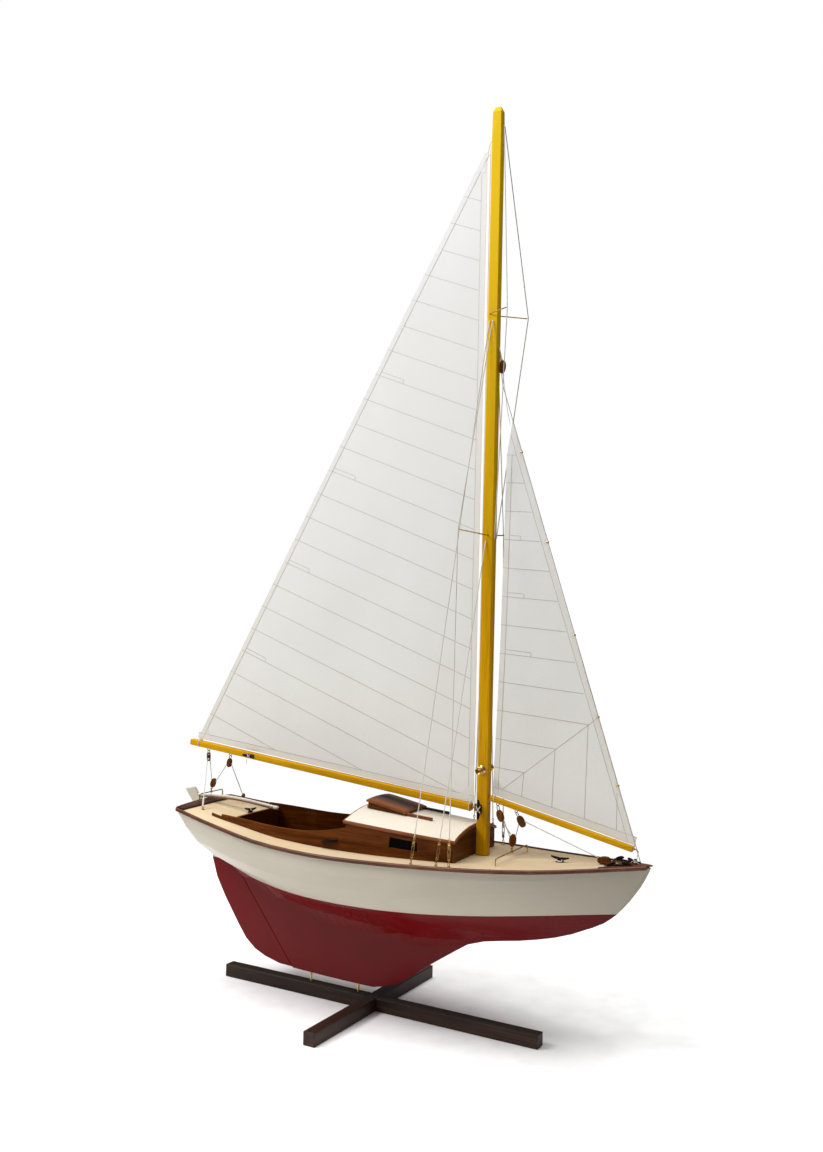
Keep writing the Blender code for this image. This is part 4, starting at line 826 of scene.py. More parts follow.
def pocket(piece, seam, inner, length, width, phase):
    """Batten pocket: a long loop of stitching with a rounded end."""
    (x0, z0), (x1, z1) = seam
    size = math.hypot(x1 - x0, z1 - z0)
    ux, uz = (x1 - x0) / size, (z1 - z0) / size
    nx, nz = -uz, ux
    start_x, start_z = x0 + ux * inner, z0 + uz * inner
    lower = [(start_x + ux * length * k / 6.0, start_z + uz * length * k / 6.0) for k in range(7)]
    end = []
    for k in range(1, 8):
        a = -math.pi / 2.0 + math.pi * k / 8.0
        along, up = math.cos(a) * width / 2.0, (math.sin(a) + 1.0) * width / 2.0
        end.append((lower[-1][0] + ux * along + nx * up, lower[-1][1] + uz * along + nz * up))
    upper = [(x + nx * width, z + nz * width) for x, z in reversed(lower)]
    thread(piece, lower + end + upper, phase, 0.0006)


def hem_between(points, width, phase, piece, stitches):
    """Doubled edge of the cloth, with its row of stitching."""
    inner = shifted(points, width)
    tape(piece, points, inner, phase, 0.00001)
    thread(stitches, inner, phase, 0.0005, 0.00016)


def build_mainsail():
    phase = 3.0
    rows = []
    steps, columns = 64, 30
    for k in range(steps + 1):
        t = k / steps
        left = main_leech(t)
        right = (LUFF_X, MAIN_HEAD + (main_foot_z(LUFF_X) - MAIN_HEAD) * t)
        rows.append(line_points(left, right, columns))
    sail = cloth("sail_main", rows, phase, MAIN, "sail_cloth", ("mainsail",))
    hems, seams = Piece(), Piece()
    leech = [main_leech(k / 40.0) for k in range(41)]
    luff = line_points((LUFF_X, main_foot_z(LUFF_X)), (LUFF_X, MAIN_HEAD), 30)
    foot = line_points(MAIN_CLEW, (LUFF_X, main_foot_z(LUFF_X)), 30)
    hem_between(leech, 0.0080, phase, hems, seams)
    hem_between(luff[:-1], 0.0085, phase, hems, seams)
    hem_between(foot, 0.0095, phase, hems, seams)
    spacing = 0.0356
    for k in range(24):
        z = 1.199 - spacing * k
        t = (MAIN_HEAD - z) / (MAIN_HEAD - MAIN_CLEW[1])
        a = main_leech(min(t, 1.0))
        slope = -0.385 + 0.001 * k
        x_end = LUFF_X - 0.0085
        b = (x_end, a[1] + slope * (x_end - a[0]))
        if b[1] < main_foot_z(x_end) + 0.0095:
            lo, hi = a[0], x_end
            for _ in range(30):
                x = (lo + hi) / 2.0
                above = a[1] + slope * (x - a[0]) > main_foot_z(x) + 0.0095
                lo, hi = (x, hi) if above else (lo, x)
            b = (lo, a[1] + slope * (lo - a[0]))
        if b[0] - a[0] > 0.012:
            thread(seams, line_points(a, b, 14), phase)
            if k in (7, 11, 15, 19):
                pocket(seams, (a, b), 0.009, 0.040, 0.0062, phase)
    for corner, u, v in ((MAIN_CLEW, (1.0, -0.05), (0.45, 0.80)),
                         ((LUFF_X, main_foot_z(LUFF_X)), (-1, 0.1), (0, 1)),
                         ((LUFF_X - 0.002, MAIN_HEAD), (0.0, -1.0), (-0.50, -0.88))):
        patch(hems, corner, u, v, 0.030, phase)
    hem_obj = hems.done("sail_main_hems", ("hem",), MAIN, "sail_cloth", (), 60.0)
    seam_obj = seams.done("sail_main_seams", ("seam",), MAIN, "sail_cloth", (), 60.0)


def patch(piece, corner, u, v, size, phase):
    """Extra layer of cloth in a corner of a sail."""
    steps = 5
    a = [(corner[0] + u[0] * size * k / steps, corner[1] + u[1] * size * k / steps) for k in range(steps + 1)]
    b = [(corner[0] + v[0] * size * k / steps, corner[1] + v[1] * size * k / steps) for k in range(steps + 1)]
    tape(piece, a[1:], b[1:], phase, 0.00014)


def build_jib():
    phase = 11.0
    tack = jib_tack()
    steps, columns = 48, 22
    rows = []
    foot_left, foot_right = JIB_CLEW, tack
    for k in range(steps + 1):
        t = k / steps
        left = jib_leech(t)
        z_right = JIB_HEAD + (tack[1] + 0.006 - JIB_HEAD) * t
        right = (jib_luff(z_right), z_right) if k < steps else tack
        rows.append(line_points(left, right, columns))
    sail = cloth("sail_jib", rows, phase, FORE, "sail_cloth", ("jib",))
    hems, seams = Piece(), Piece()
    leech = [jib_leech(k / 30.0) for k in range(31)]
    luff = [(jib_luff(z),
             z) for z in (tack[1] + 0.006 + (JIB_HEAD - tack[1] - 0.006) * k / 34.0 for k in range(35))]
    foot = line_points(foot_left, foot_right, 20)
    hem_between(leech, 0.0080, phase, hems, seams)
    hem_between(luff[:-1], 0.0080, phase, hems, seams)
    hem_between(foot, 0.0110, phase, hems, seams)
    mitre = (0.1994, 0.3437, 0.3443, 0.4593)
    mitre_slope = (mitre[3] - mitre[1]) / (mitre[2] - mitre[0])
    thread(seams, line_points(mitre[:2], mitre[2:], 12), phase)
    for k in range(12):
        z = 0.8200 - 0.0402 * k
        t = (JIB_LEECH_TOP[1] - z) / (JIB_LEECH_TOP[1] - JIB_CLEW[1])
        a = jib_leech(max(t, 0.0))
        slope = -0.050 - 0.003 * k
        x = jib_luff(a[1]) - 0.008
        if k >= 9:
            x = (a[1] - slope * a[0] - mitre[1] + mitre_slope * mitre[0]) / (mitre_slope - slope)
        b = (x, a[1] + slope * (x - a[0]))
        if b[0] - a[0] > 0.006:
            thread(seams, line_points(a, b, 10), phase)
        if k in (3, 5, 7):
            pocket(seams, (a, b), 0.009, {3: 0.014, 5: 0.022, 7: 0.036}[k], 0.0060, phase)

    def foot_line(x):
        return on_line(foot_left, foot_right, x)

    for x in (0.2363, 0.2818, 0.3289):
        top = mitre[1] + mitre_slope * (x - mitre[0])
        low_x = x - 0.0028
        thread(seams, line_points((x, top), (low_x, foot_line(low_x) + 0.011), 8), phase)
    x = 0.3716
    thread(seams, line_points((x, 0.3600), (x, foot_line(x) + 0.011), 5), phase)
    patch(hems, JIB_CLEW, (0.98, -0.20), (0.05, 1.0), 0.026, phase)
    patch(hems, tack, (-0.98, 0.20), (-0.31, 0.95), 0.030, phase)
    hem_obj = hems.done("sail_jib_hems", ("hem",), FORE, "sail_cloth", (), 60.0)
    seam_obj = seams.done("sail_jib_seams", ("seam",), FORE, "sail_cloth", (), 60.0)


# ---------------------------------------------------------------- spars and blocks
def add_block(piece, centre, turn=0.0, yaw=0.0, scale=1.0, wood_slot=0, brass_slot=1):
    """Wooden block: two crowned cheeks with a groove, sheave on its pin, and a spacer at each end."""
    place = (Matrix.Translation(centre) @ Matrix.Rotation(yaw, 4, "Z") @ Matrix.Rotation(turn, 4, "Y")
             @ Matrix.Scale(scale, 4))

    def oval(a, b, y, middle=0.0, count=24):
        ring = []
        for k in range(count):
            angle = 2.0 * math.pi * k / count
            c, s = math.cos(angle), math.sin(angle)
            ring.append(place @ Vector((a * math.copysign(abs(c) ** 0.85, c), y,
                                        middle + b * math.copysign(abs(s) ** 0.85, s))))
        return ring

    for side in (-1.0, 1.0):
        rings = [oval(BLOCK_A * s, BLOCK_B * s, side * y) for s, y in
                 ((0.95, 0.0011), (1.0, 0.0013), (1.0, 0.0020), (0.95, 0.0027), (0.80, 0.0031),
                  (0.74, 0.0028), (0.68, 0.0031), (0.35, 0.0032))]
        piece.loft(rings, wood_slot)
        for end in (-1.0, 1.0):
            piece.loft([oval(BLOCK_A * 0.50, BLOCK_B * 0.15, side * y, end * BLOCK_B * 0.80, 12)
                        for y in (0.0, 0.0014)], wood_slot)
    axis = place.to_3x3() @ Vector((0.0, 1.0, 0.0))
    hub = place @ Vector((0.0, 0.0, 0.0))
    piece.turned(((0.0030 * scale, -0.0007), (0.0025 * scale, 0.0), (0.0030 * scale, 0.0007)), hub, axis,
                 brass_slot, 18)
    piece.turned(((0.0008, -0.0032 * scale), (0.0008, 0.0032 * scale)), hub, axis, wood_slot, 12)


def add_shackle(piece, top, bottom, slot, across=(1.0, 0.0, 0.0)):
    """Wire eye above, and a shackle below that carries a block."""
    top, bottom = Vector(top), Vector(bottom)
    side = Vector(across)
    piece.torus(top + Vector((0.0, 0.0, -0.0018)), side.cross(Vector((0, 0, 1))), 0.0019, 0.00055, slot)
    high = top + Vector((0.0, 0.0, -0.0038))
    loop = [bottom + side * 0.0013, high.lerp(bottom, 0.25) + side * 0.0016,
            high.lerp(bottom, 0.08) + side * 0.0009,
            high, high.lerp(bottom, 0.08) - side * 0.0009, high.lerp(bottom, 0.25) - side * 0.0016,
            bottom - side * 0.0013]
    piece.tube(loop, 0.0006, slot)
    piece.tube([bottom + side * 0.0019, bottom - side * 0.0019], 0.0006, slot)


def sheave_arc(centre, start_deg, end_deg, across=(1.0, 0.0, 0.0), steps=8):
    """Points round a sheave, in the upright plane that runs along a direction."""
    out = []
    for k in range(steps + 1):
        a = math.radians(start_deg + (end_deg - start_deg) * k / steps)
        out.append(Vector(centre) + Vector(across) * (SHEAVE * math.cos(a)) + Vector((0, 0,
                                                                                      SHEAVE * math.sin(a))))
    return out


def main_block_at(spot):
    """Middle of a block under the main boom."""
    return (spot[0], 0.0, boom_z(spot[0]) - spot[1])


def jib_block_at(spot):
    """Middle of a block under the jib boom."""
    return (spot[0], 0.0, jib_boom_z(spot[0]) - spot[1])


def hang_blocks(name, spots, place_of, line, deep, scale, body):
    """Blocks under a boom, each on a strap from its ring."""
    piece = Piece()
    for spot in spots:
        x, _, turn, yaw, ring = spot
        centre = place_of(spot)
        add_block(piece, centre, turn, yaw, scale)
        top = (x + BLOCK_B * scale * math.sin(turn), 0.0,
               centre[2] + BLOCK_B * scale * math.cos(turn) - 0.0006)
        add_shackle(piece, (x + ring, 0.0, line(x + ring) - deep), top, 2, (0.87, 0.49, 0.0))
    piece.done(name, ("block", "bright_brass", "dull"), body, "block_wood")


def build_main_boom():
    """Yellow boom with its end fitting, sheet blocks, outhaul cleat and gooseneck ball."""
    piece = Piece()
    stations = []
    for t, grow in ((0.0, 0.84), (0.0014, 0.97), (0.004, 1.0), (0.5, 1.0), (0.995, 1.0), (0.9985, 0.97),
                    (1.0, 0.86)):
        x = BOOM_AFT[0] + (BOOM_FORE[0] - BOOM_AFT[0]) * t
        deep = 0.0094 + (0.0108 - 0.0094) * t
        stations.append(((x, 0.0, boom_z(x)), 0.0100 * grow, deep * grow))
    piece.bar(stations, 0, 0.13)
    piece.done("boom_main", ("spar_x",), MAIN, "spar_yellow_varnish", ("main_boom",), 40.0)
    hang_blocks("boom_main_blocks", MAIN_BLOCKS, main_block_at, boom_z, 0.0044, MAIN_SCALE, MAIN)
    ends = Piece()
    x, z = BOOM_FORE[0], boom_z(BOOM_FORE[0])
    ends.turned(((0.0008, -0.0030), (0.0026, -0.0022), (0.0026, 0.0016), (0.0021, 0.0020), (0.0021, 0.0026),
                 (0.0014, 0.0030), (0.0014, 0.0042), (0.0004, 0.0046)), (x, 0.0, z), (1.0, 0.0, 0.0), 0, 18)
    ends.done("boom_main_ferrule", ("bright_brass",), MAIN, "brass")
    cleat_x = -0.2350
    add_horn_cleat("boom_outhaul_cleat", (cleat_x, -0.0050, boom_z(cleat_x) + 0.0008), (1.0, 0.0, -0.095),
                   (0.0, -1.0, 0.0), 0.0235, 0.0052, MAIN)
    lash = Piece()
    z, y = boom_z(cleat_x) + 0.0008, -0.0134
    for way in (-1.0, 1.0):
        lash.tube([(cleat_x - 0.0030, y + 0.0016, z + 0.0026 * way), (cleat_x, y - 0.0006, z),
                   (cleat_x + 0.0030, y + 0.0016, z - 0.0026 * way)], THIN)
    lash.tube([(cleat_x - 0.0028, y + 0.0012, z - 0.0020), (cleat_x - 0.0024, y - 0.0004, z - 0.0062),
               (cleat_x - 0.0020, y - 0.0002, z - 0.0120)], THIN)
    tie_sail(lash, (MAIN_CLEW[0] + 0.003, MAIN_CLEW[1] + 0.002), boom_z, 0.0094, 0.0100)
    tie_sail(lash, (LUFF_X - 0.006, main_foot_z(LUFF_X) + 0.003), boom_z, 0.0108, 0.0100)
    lash.done("boom_main_lashings", ("thin_cord",), MAIN, "cord_off_white")


def tie_sail(piece, corner, line, deep, wide):
    """Cord lashed round a boom and through the sail's corner."""
    x, z = corner
    axis = line(x)
    out, down = wide / 2.0 + 0.0006, deep / 2.0 + 0.0006
    ring = ((0.0007, z), (out * 0.7, axis + down), (out, axis + down * 0.6), (out, axis - down * 0.6),
            (out * 0.7, axis - down), (-out * 0.7, axis - down), (-out, axis - down * 0.6),
            (-out, axis + down * 0.6),
            (-out * 0.7, axis + down), (-0.0007, z))
    piece.tube([(x + 0.0002 * k, y, h) for k, (y, h) in enumerate(ring)], THIN, 0)


def add_horn_cleat(name, place, along, out, length, girth, body, stands_for=()):
    """Two-horned wooden cleat on its foot."""
    along, out = Vector(along).normalized(), Vector(out).normalized()
    base = Vector(place)
    half = length / 2.0
    piece = Piece()
    stations = []
    for t in (-1.0, -0.95, -0.8, -0.55, -0.25, 0.0, 0.25, 0.55, 0.8, 0.95, 1.0):
        size = girth * (1.0 - 0.55 * abs(t) ** 2.2)
        stations.append((base + along * half * t + out * girth * (1.05 + 0.45 * t * t), size, size * 0.80))
    piece.bar(stations, 0, 0.38, tuple(out))
    foot = ((-0.0001, 0.46), (girth * 0.25, 0.40), (girth * 0.55, 0.30), (girth * 0.95, 0.34))
    piece.bar([(base + out * rise, girth * 0.85, length * wide) for rise, wide in foot], 0, 0.22,
              tuple(along))
    return piece.done(name, ("dark",), body, "dark_wood", stands_for)


def build_jib_boom():
    """Jib boom with its blocks, tack hook and end ferrules."""
    piece = Piece()
    stations = []
    for t, grow in ((0.0, 0.84), (0.003, 0.97), (0.008, 1.0), (0.5, 1.0), (0.992, 1.0), (0.9975, 0.97),
                    (1.0, 0.86)):
        x = JIB_AFT[0] + (JIB_FORE[0] - JIB_AFT[0]) * t
        stations.append(((x, 0.0, jib_boom_z(x)), 0.0076 * grow, 0.0076 * grow))
    piece.bar(stations, 0, 0.13)
    piece.done("boom_jib", ("spar_x",), FORE, "spar_yellow_varnish", ("jib_boom",), 40.0)
    hang_blocks("boom_jib_blocks", JIB_BLOCKS, jib_block_at, jib_boom_z, 0.0036, JIB_SCALE, FORE)
    hook = Piece()
    x, z = JIB_FORE[0], jib_boom_z(JIB_FORE[0])
    hook.turned(((0.0010, -0.0016), (0.0024, -0.0006), (0.0024, 0.0008), (0.0010, 0.0016)), (x, 0.0, z),
                (0.978, 0.0, -0.208))
    hook.tube([(x, 0.0, z), (x + 0.0030, 0.0, z + 0.0006), (x + 0.0052, 0.0, z - 0.0006),
               (x + 0.0064, 0.0, z - 0.0022), (x + 0.0068, 0.0, z - 0.0034)], 0.0009)
    hook.done("boom_jib_hook", ("bright_brass",), FORE, "brass")
    lash = Piece()
    tie_sail(lash, (JIB_CLEW[0] + 0.002, JIB_CLEW[1] + 0.002), jib_boom_z, 0.0076, 0.0076)
    tack = jib_tack()
    lash.tube([(tack[0] - 0.0010, 0.0008, tack[1] + 0.0030), (JIB_FORE[0] + 0.0012, 0.0016, tack[1] - 0.0020),
               (JIB_FORE[0] + 0.0016, 0.0, jib_boom_z(JIB_FORE[0]) - 0.0012),
               (JIB_FORE[0] + 0.0012, -0.0016, tack[1] - 0.0020),
               (tack[0] - 0.0010, -0.0008, tack[1] + 0.0030)], THIN)
    lash.done("boom_jib_lashings", ("thin_cord",), FORE, "cord_off_white")


def build_hanks():
    """Small brass hanks that hold the jib's luff to the stay."""
    piece = Piece()
    slope = Vector((STAY_HEAD[0] - STAY_FOOT[0], 0.0, STAY_HEAD[1] - STAY_FOOT[1])).normalized()
    for z in (0.8222, 0.6956, 0.5684, 0.4594, 0.3700):
        centre = Vector((stay_x(z) - 0.0010, 0.0, z))
        piece.torus(centre, slope, 0.0019, 0.0005)
        piece.turned(((0.0004, -0.0019), (0.0011, -0.0010), (0.0011, 0.0010), (0.0004, 0.0019)), centre
                     + Vector((0.0014, 0.0, 0.0)), slope, 0, 10)
    piece.done("jib_hanks", ("bright_brass",), FORE, "brass")


def build_travellers():
    """Travelling sheet blocks, each with its swivel and ring on the horse."""
    for label, (mid_x, _, z), (x, wire), body, turn, yaw, scale in (
            ("main", TRAVEL_MAIN, HORSE_MAIN, "main_block", 0.26, 0.35, 0.96),
            ("jib", TRAVEL_JIB, HORSE_JIB, "jib_block", 0.06, 0.20, 1.10)):
        piece = Piece()
        add_block(piece, (mid_x, 0.0, z), turn, yaw, scale)
        foot = z - BLOCK_B * scale * math.cos(turn)
        piece.torus((x, 0.0, wire), (0, 1, 0), 0.0017, 0.0006, 1)
        low_x = mid_x - BLOCK_B * scale * math.sin(turn)
        piece.tube([(x, 0.0, wire + 0.0018), (low_x, 0.0, foot + 0.0004)], 0.0009, 1)
        piece.turned(((0.0008, -0.0010), (0.0018, -0.0004), (0.0018, 0.0006), (0.0008, 0.0012)),
                     (x, 0.0, (wire + foot) / 2.0 + 0.0008), (0, 0, 1), 1, 14)
        piece.done("traveller_%s" % label, ("block", "bright_brass"), body, "block_wood",
                   ("%s_sheet_block" % label,))


# ---------------------------------------------------------------- mast fittings
def build_mast_fittings():
    """Winches, cleats with their falls, halyard block and halyards."""
    face_y = MAST_HALF[1]
    aft_x = MAST_X - MAST_HALF[0]
    for side, label in ((-1.0, "starboard"), (1.0, "port")):
        piece = Piece()
        face = (MAST_X, side * (face_y + 0.0003), 0.3730)
        piece.turned(((0.0066, 0.0), (0.0068, 0.0008), (0.0062, 0.0020), (0.0046, 0.0028), (0.0034, 0.0038),
                      (0.0032, 0.0062), (0.0034, 0.0086), (0.0046, 0.0102), (0.0054, 0.0116),
                      (0.0055, 0.0130),
                      (0.0048, 0.0136), (0.0036, 0.0130), (0.0028, 0.0108), (0.0006, 0.0104)), face,
                     (0.0, side, 0.0), 0, 32)
        piece.done("winch_drum_" + label, ("bright_brass",), "winch_" + label, "brass",
                   ("mast_winch_" + label,))
        z = 0.3170
        cleat_x = MAST_X - 0.0022
        add_horn_cleat("mast_cleat_" + label, (cleat_x, side * (face_y + 0.0001), z), (0.0, 0.0, 1.0),
                       (0.0, side, 0.0), 0.0275, 0.0052, BOAT)
        fall = Piece()
        y = side * (face_y + 0.0083)
        for way in (-1.0, 1.0):
            fall.tube([(cleat_x - 0.0030 * way, y - side * 0.0014, z + 0.0044), (cleat_x, y, z),
                       (cleat_x + 0.0030 * way, y - side * 0.0014, z - 0.0044)], 0.0006)
            fall.tube([(cleat_x - 0.0030, y - side * 0.0014, z + 0.0044 * way),
                       (cleat_x, y - side * 0.0046, z + 0.0056 * way),
                       (cleat_x + 0.0030, y - side * 0.0014, z + 0.0044 * way)], 0.0006)
        fall.done("mast_fall_" + label, ("thin_cord",), BOAT, "cord_off_white")
        top = 1.2650 if side < 0 else 0.9700
        add_cord("line_halyard_" + label, [(cleat_x - 0.0030, y - side * 0.0030, z + 0.0060),
                                           (aft_x - 0.0007, side * 0.0045, z + 0.0240),
                                           (aft_x - 0.0007, side * 0.0045, top)], BOAT, THIN, "thin_cord")
    block = Piece()
    add_block(block, (0.1895, 0.0, 0.9450), 0.06, 0.5, 1.15)
    block.torus((0.1885, 0.0, 0.9556), (1, 0, 0), 0.0014, 0.0005, 1)
    block.done("halyard_block", ("block", "bright_brass"), BOAT, "block_wood")
    strop = Piece()
    for way in (-1.0, 1.0):
        strop.tube([(0.1838, 0.0006 * way, 0.9740), (0.1860, 0.0006 * way, 0.9650), (0.1883, 0.0, 0.9564)],
                   CORD)
    strop.done("halyard_strop", ("cord",), BOAT, "cord_off_white")
    head = Piece()
    head.tube([(0.1598, 0.0, MAIN_HEAD - 0.003), (0.1622, 0.0, MAIN_HEAD + 0.010), (0.1660, 0.0, 1.2735)],
              THIN)
    head.done("main_head_tie", ("thin_cord",), MAIN, "cord_off_white")
    jib_head = Piece()
    jib_head.tube([(0.2035, 0.0, JIB_HEAD - 0.004), (0.1985, 0.0, 0.8850), (0.1905, 0.0, 0.9360)], THIN)
    jib_head.done("jib_head_tie", ("thin_cord",), FORE, "cord_off_white")


# ---------------------------------------------------------------- cabin and cockpit
def cabin_half(x):
    """Half width of the cabin's planks."""
    knots = ((-0.050, 0.0752), (0.020, 0.0748), (0.100, 0.0710), (0.160, 0.0648))
    fit = np.polyfit([k[0] for k in knots], [k[1] for k in knots], 3)
    return float(np.polyval(fit, x))


def roof_under(x, y):
    """Height of the roof's underside."""
    share = min(abs(y) / cabin_half(x), 1.0)
    return 0.2880 + (0.2782 - 0.2880) * (x + 0.008) / 0.168 + 0.0135 * (1.0 - share * share)


def build_roof():
    """White crowned roof with the companionway left open, and a moulding round its eaves."""
    start_x, end_x = -0.0105, 0.1637
    hole = (0.002, 0.0565, 0.33)
    xs = sorted({start_x, end_x, hole[0], hole[1], *np.linspace(start_x + 0.006, end_x - 0.006, 22)})
    shares = sorted({-1.0, 1.0, -hole[2], hole[2], *np.linspace(-0.94, 0.94, 17)})
    piece = Piece()
    bm = piece.bm
    grids = []
    for thick in (0.0003, 0.0030):
        grids.append([[bm.verts.new((x, (cabin_half(x) + 0.0012) * f,
                                     roof_under(x, (cabin_half(x)) * f) + thick))
                       for f in shares] for x in xs])
    for rows in grids:
        for i in range(len(xs) - 1):
            for j in range(len(shares) - 1):
                inside_x = hole[0] - 1e-6 <= xs[i] and xs[i + 1] <= hole[1] + 1e-6
                inside_y = -hole[2] - 1e-6 <= shares[j] and shares[j + 1] <= hole[2] + 1e-6
                if not (inside_x and inside_y):
                    bm.faces.new((rows[i][j], rows[i][j + 1], rows[i + 1][j + 1], rows[i + 1][j]))
    partner = {low: high for low_row, high_row in zip(*grids) for low, high in zip(low_row, high_row)}
    for edge in [e for e in bm.edges if len(e.link_faces) == 1]:
        a, b = edge.verts
        if a in partner and b in partner:
            bm.faces.new((a, b, partner[b], partner[a]))
    bmesh.ops.delete(bm, geom=[v for v in bm.verts if not v.link_faces], context="VERTS")
    piece.done("roof_panel", ("roof",), BOAT, "roof_white_paint", ("cabin_roof",), 40.0)
    trim = Piece()
    border = [(x, -1.0) for x in np.linspace(start_x, end_x, 20)] + \
             [(end_x, f) for f in np.linspace(-0.9, 0.9, 14)] + \
             [(x, 1.0) for x in np.linspace(end_x, start_x, 20)] + \
             [(start_x, f) for f in np.linspace(0.9, -0.9, 14)]
    rings = []
    for x, f in border:
        out_x = 0.0010 if x >= end_x - 1e-9 else (-0.0010 if x <= start_x + 1e-9 else 0.0)
        out_y = math.copysign(0.0010, f) if abs(f) == 1.0 else 0.0
        y = (cabin_half(x) + 0.0012) * f
        z = roof_under(x, cabin_half(x) * f)
        inner = Vector((x - out_x * 1.1, y - out_y * 1.1, 0.0))
        outer = Vector((x + out_x * 1.3, y + out_y * 1.3, 0.0))
        lip = Vector((x + out_x * 0.5, y + out_y * 0.5, 0.0))
        ring = [inner + Vector((0, 0, z - 0.0011)), lip + Vector((0, 0, z - 0.0016)),
                outer + Vector((0, 0, z - 0.0006)),
                outer + Vector((0, 0, z + 0.0020)), lip + Vector((0, 0, z + 0.0030)),
                inner + Vector((0, 0, z + 0.0033))]
        rings.append(ring)
    rings.append(rings[0])
    trim.loft(rings, 0, False)
    bmesh.ops.remove_doubles(trim.bm, verts=trim.bm.verts, dist=SAME_POINT)
    trim.done("roof_moulding", ("mahogany_light",), BOAT, "mahogany", (), 40.0)


def build_hatch():
    """Sliding cover: thick crowned lid with a lighter edge, on a narrower skirt."""
    low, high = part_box("hatch")
    aft, fore, half = low.x, high.x, high.y

    def crown(x, y):
        rise = 0.0137 + (0.0062 - 0.0137) * (x - aft) / (fore - aft)
        return roof_under(x, 0.0) + 0.0030 + rise - 0.0018 * (y / half) ** 2

    for name, finish, inset, drop_top, drop_low, stands in (
            ("hatch_lid", "hatch_top", 0.0016, 0.0, 0.0034, ("hatch",)),
            ("hatch_edge", "mahogany_light", 0.0, 0.0006, 0.0036, ())):
        piece = Piece()
        rings = []
        for t in np.linspace(0.0, 1.0, 7):
            x = aft + inset + (fore - aft - 2.0 * inset) * t
            x = min(max(x, aft + inset), fore - inset)
            shrink = 0.0006 if t in (0.0, 1.0) else 0.0
            ys = np.linspace(-half + inset, half - inset, 13)
            rings.append([(x, y, crown(x, y) - drop_top - shrink) for y in ys]
                         + [(x, y, crown(x, y) - drop_low) for y in ys[::-1]])
        piece.loft(rings, 0)
        piece.done(name, (finish,), "hatch", "mahogany", stands, 35.0)
    skirt = Piece()
    inner = half - 0.0042
    for side in (-1.0, 1.0):
        rings = []
        for t in (0.04, 0.5, 0.96):
            x = aft + (fore - aft) * t
            base = top_of("hatch_runner_port", min(x, 0.10), 0.0275) - 0.0036 + 0.0004
            y = side * (inner + 0.0014)
            top = crown(x, inner) - 0.0034
            rings.append([(x, y - 0.0009, base), (x, y + 0.0009, base), (x, y + 0.0009, top),
                          (x, y - 0.0009, top)])
        skirt.loft(rings, 0)
    x = aft + 0.0030
    rings = []
    for y in np.linspace(-inner, inner, 9):
        base = roof_under(x, y) + 0.0030 + (0.0036 if abs(y) > 0.0240 else 0.0008)
        rings.append([(x - 0.0009, y, base), (x + 0.0009, y, base),
                      (x + 0.0009, y, crown(x, y) - 0.0034), (x - 0.0009, y, crown(x, y) - 0.0034)])
    skirt.loft(rings, 0)
    skirt.done("hatch_skirt", ("mahogany",), "hatch", "mahogany", (), 30.0)


def build_cockpit_details():
    """Window panes, pegs, door frame, floor boards and the aft coaming's cap."""
    panes = Piece()
    for side in (-1.0, 1.0):
        corners = ((0.0625, 0.2765), (0.1092, 0.2738), (0.1096, 0.2588), (0.0613, 0.2598))
        rings = []
        for inset in (0.0026, 0.0032):
            rings.append([(x, side * (cabin_half(x) - inset), z) for x, z in corners])
        panes.loft(rings, 0)
    panes.done("window_panes", ("window",), BOAT, "mahogany", (), 30.0)
    pegs = Piece()
    for side in (-1.0, 1.0):
        stations = []
        for x, size in ((-0.0480, 0.0022), (-0.0465, 0.0046), (-0.0350, 0.0054), (-0.0235, 0.0050),
                        (-0.0215, 0.0024)):
            y = cabin_half(x) + 0.0016
            z = 0.2546 + 0.0062 * (x + 0.0485) / 0.0277
            stations.append(((x, side * y, z), size * 0.75, size))
        pegs.bar(stations, 0, 0.4)
    pegs.done("coaming_pegs", ("dark",), BOAT, "dark_wood", (), 40.0)
    frame_piece = Piece()
    x = -0.0060
    for side in (-1.0, 1.0):
        frame_piece.bar([((x, side * 0.0252, 0.2320), 0.0022, 0.0016),
                         ((x, side * 0.0252, 0.2960), 0.0022, 0.0016)],
                        0, 0.25, (1.0, 0.0, 0.0))
    frame_piece.bar([((x, -0.0263, 0.2311), 0.0016, 0.0022), ((x, 0.0263, 0.2311), 0.0016, 0.0022)], 0, 0.25)
    frame_piece.done("door_frame", ("mahogany_light",), BOAT, "mahogany", (), 35.0)
    boards = Piece()
    low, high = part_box("cockpit_sole")
    count = 13
    pitch = (high.y - low.y - 0.014) / count
    for k in range(count):
        y = low.y + 0.007 + pitch * (k + 0.5)
        boards.bar([((low.x + 0.002, y, high.z + 0.0004), pitch - 0.0006, 0.0010),
                    ((high.x - 0.002, y, high.z + 0.0004), pitch - 0.0006, 0.0010)], 0, 0.3)
    boards.done("cockpit_boards", ("mahogany",), BOAT, "mahogany", (), 40.0)
    cap = Piece()
    low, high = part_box("cockpit_aft_coaming")
    middle = (low.x + high.x) / 2.0
    cap.bar([((middle, y, high.z - 0.0003 - 0.0012 * max(0.0, (abs(y) - 0.03) / 0.033)), 0.0040, 0.0016)
             for y in np.linspace(low.y, high.y, 7)], 0, 0.3)
    cap.done("cockpit_aft_cap", ("mahogany_light",), BOAT, "mahogany", (), 35.0)


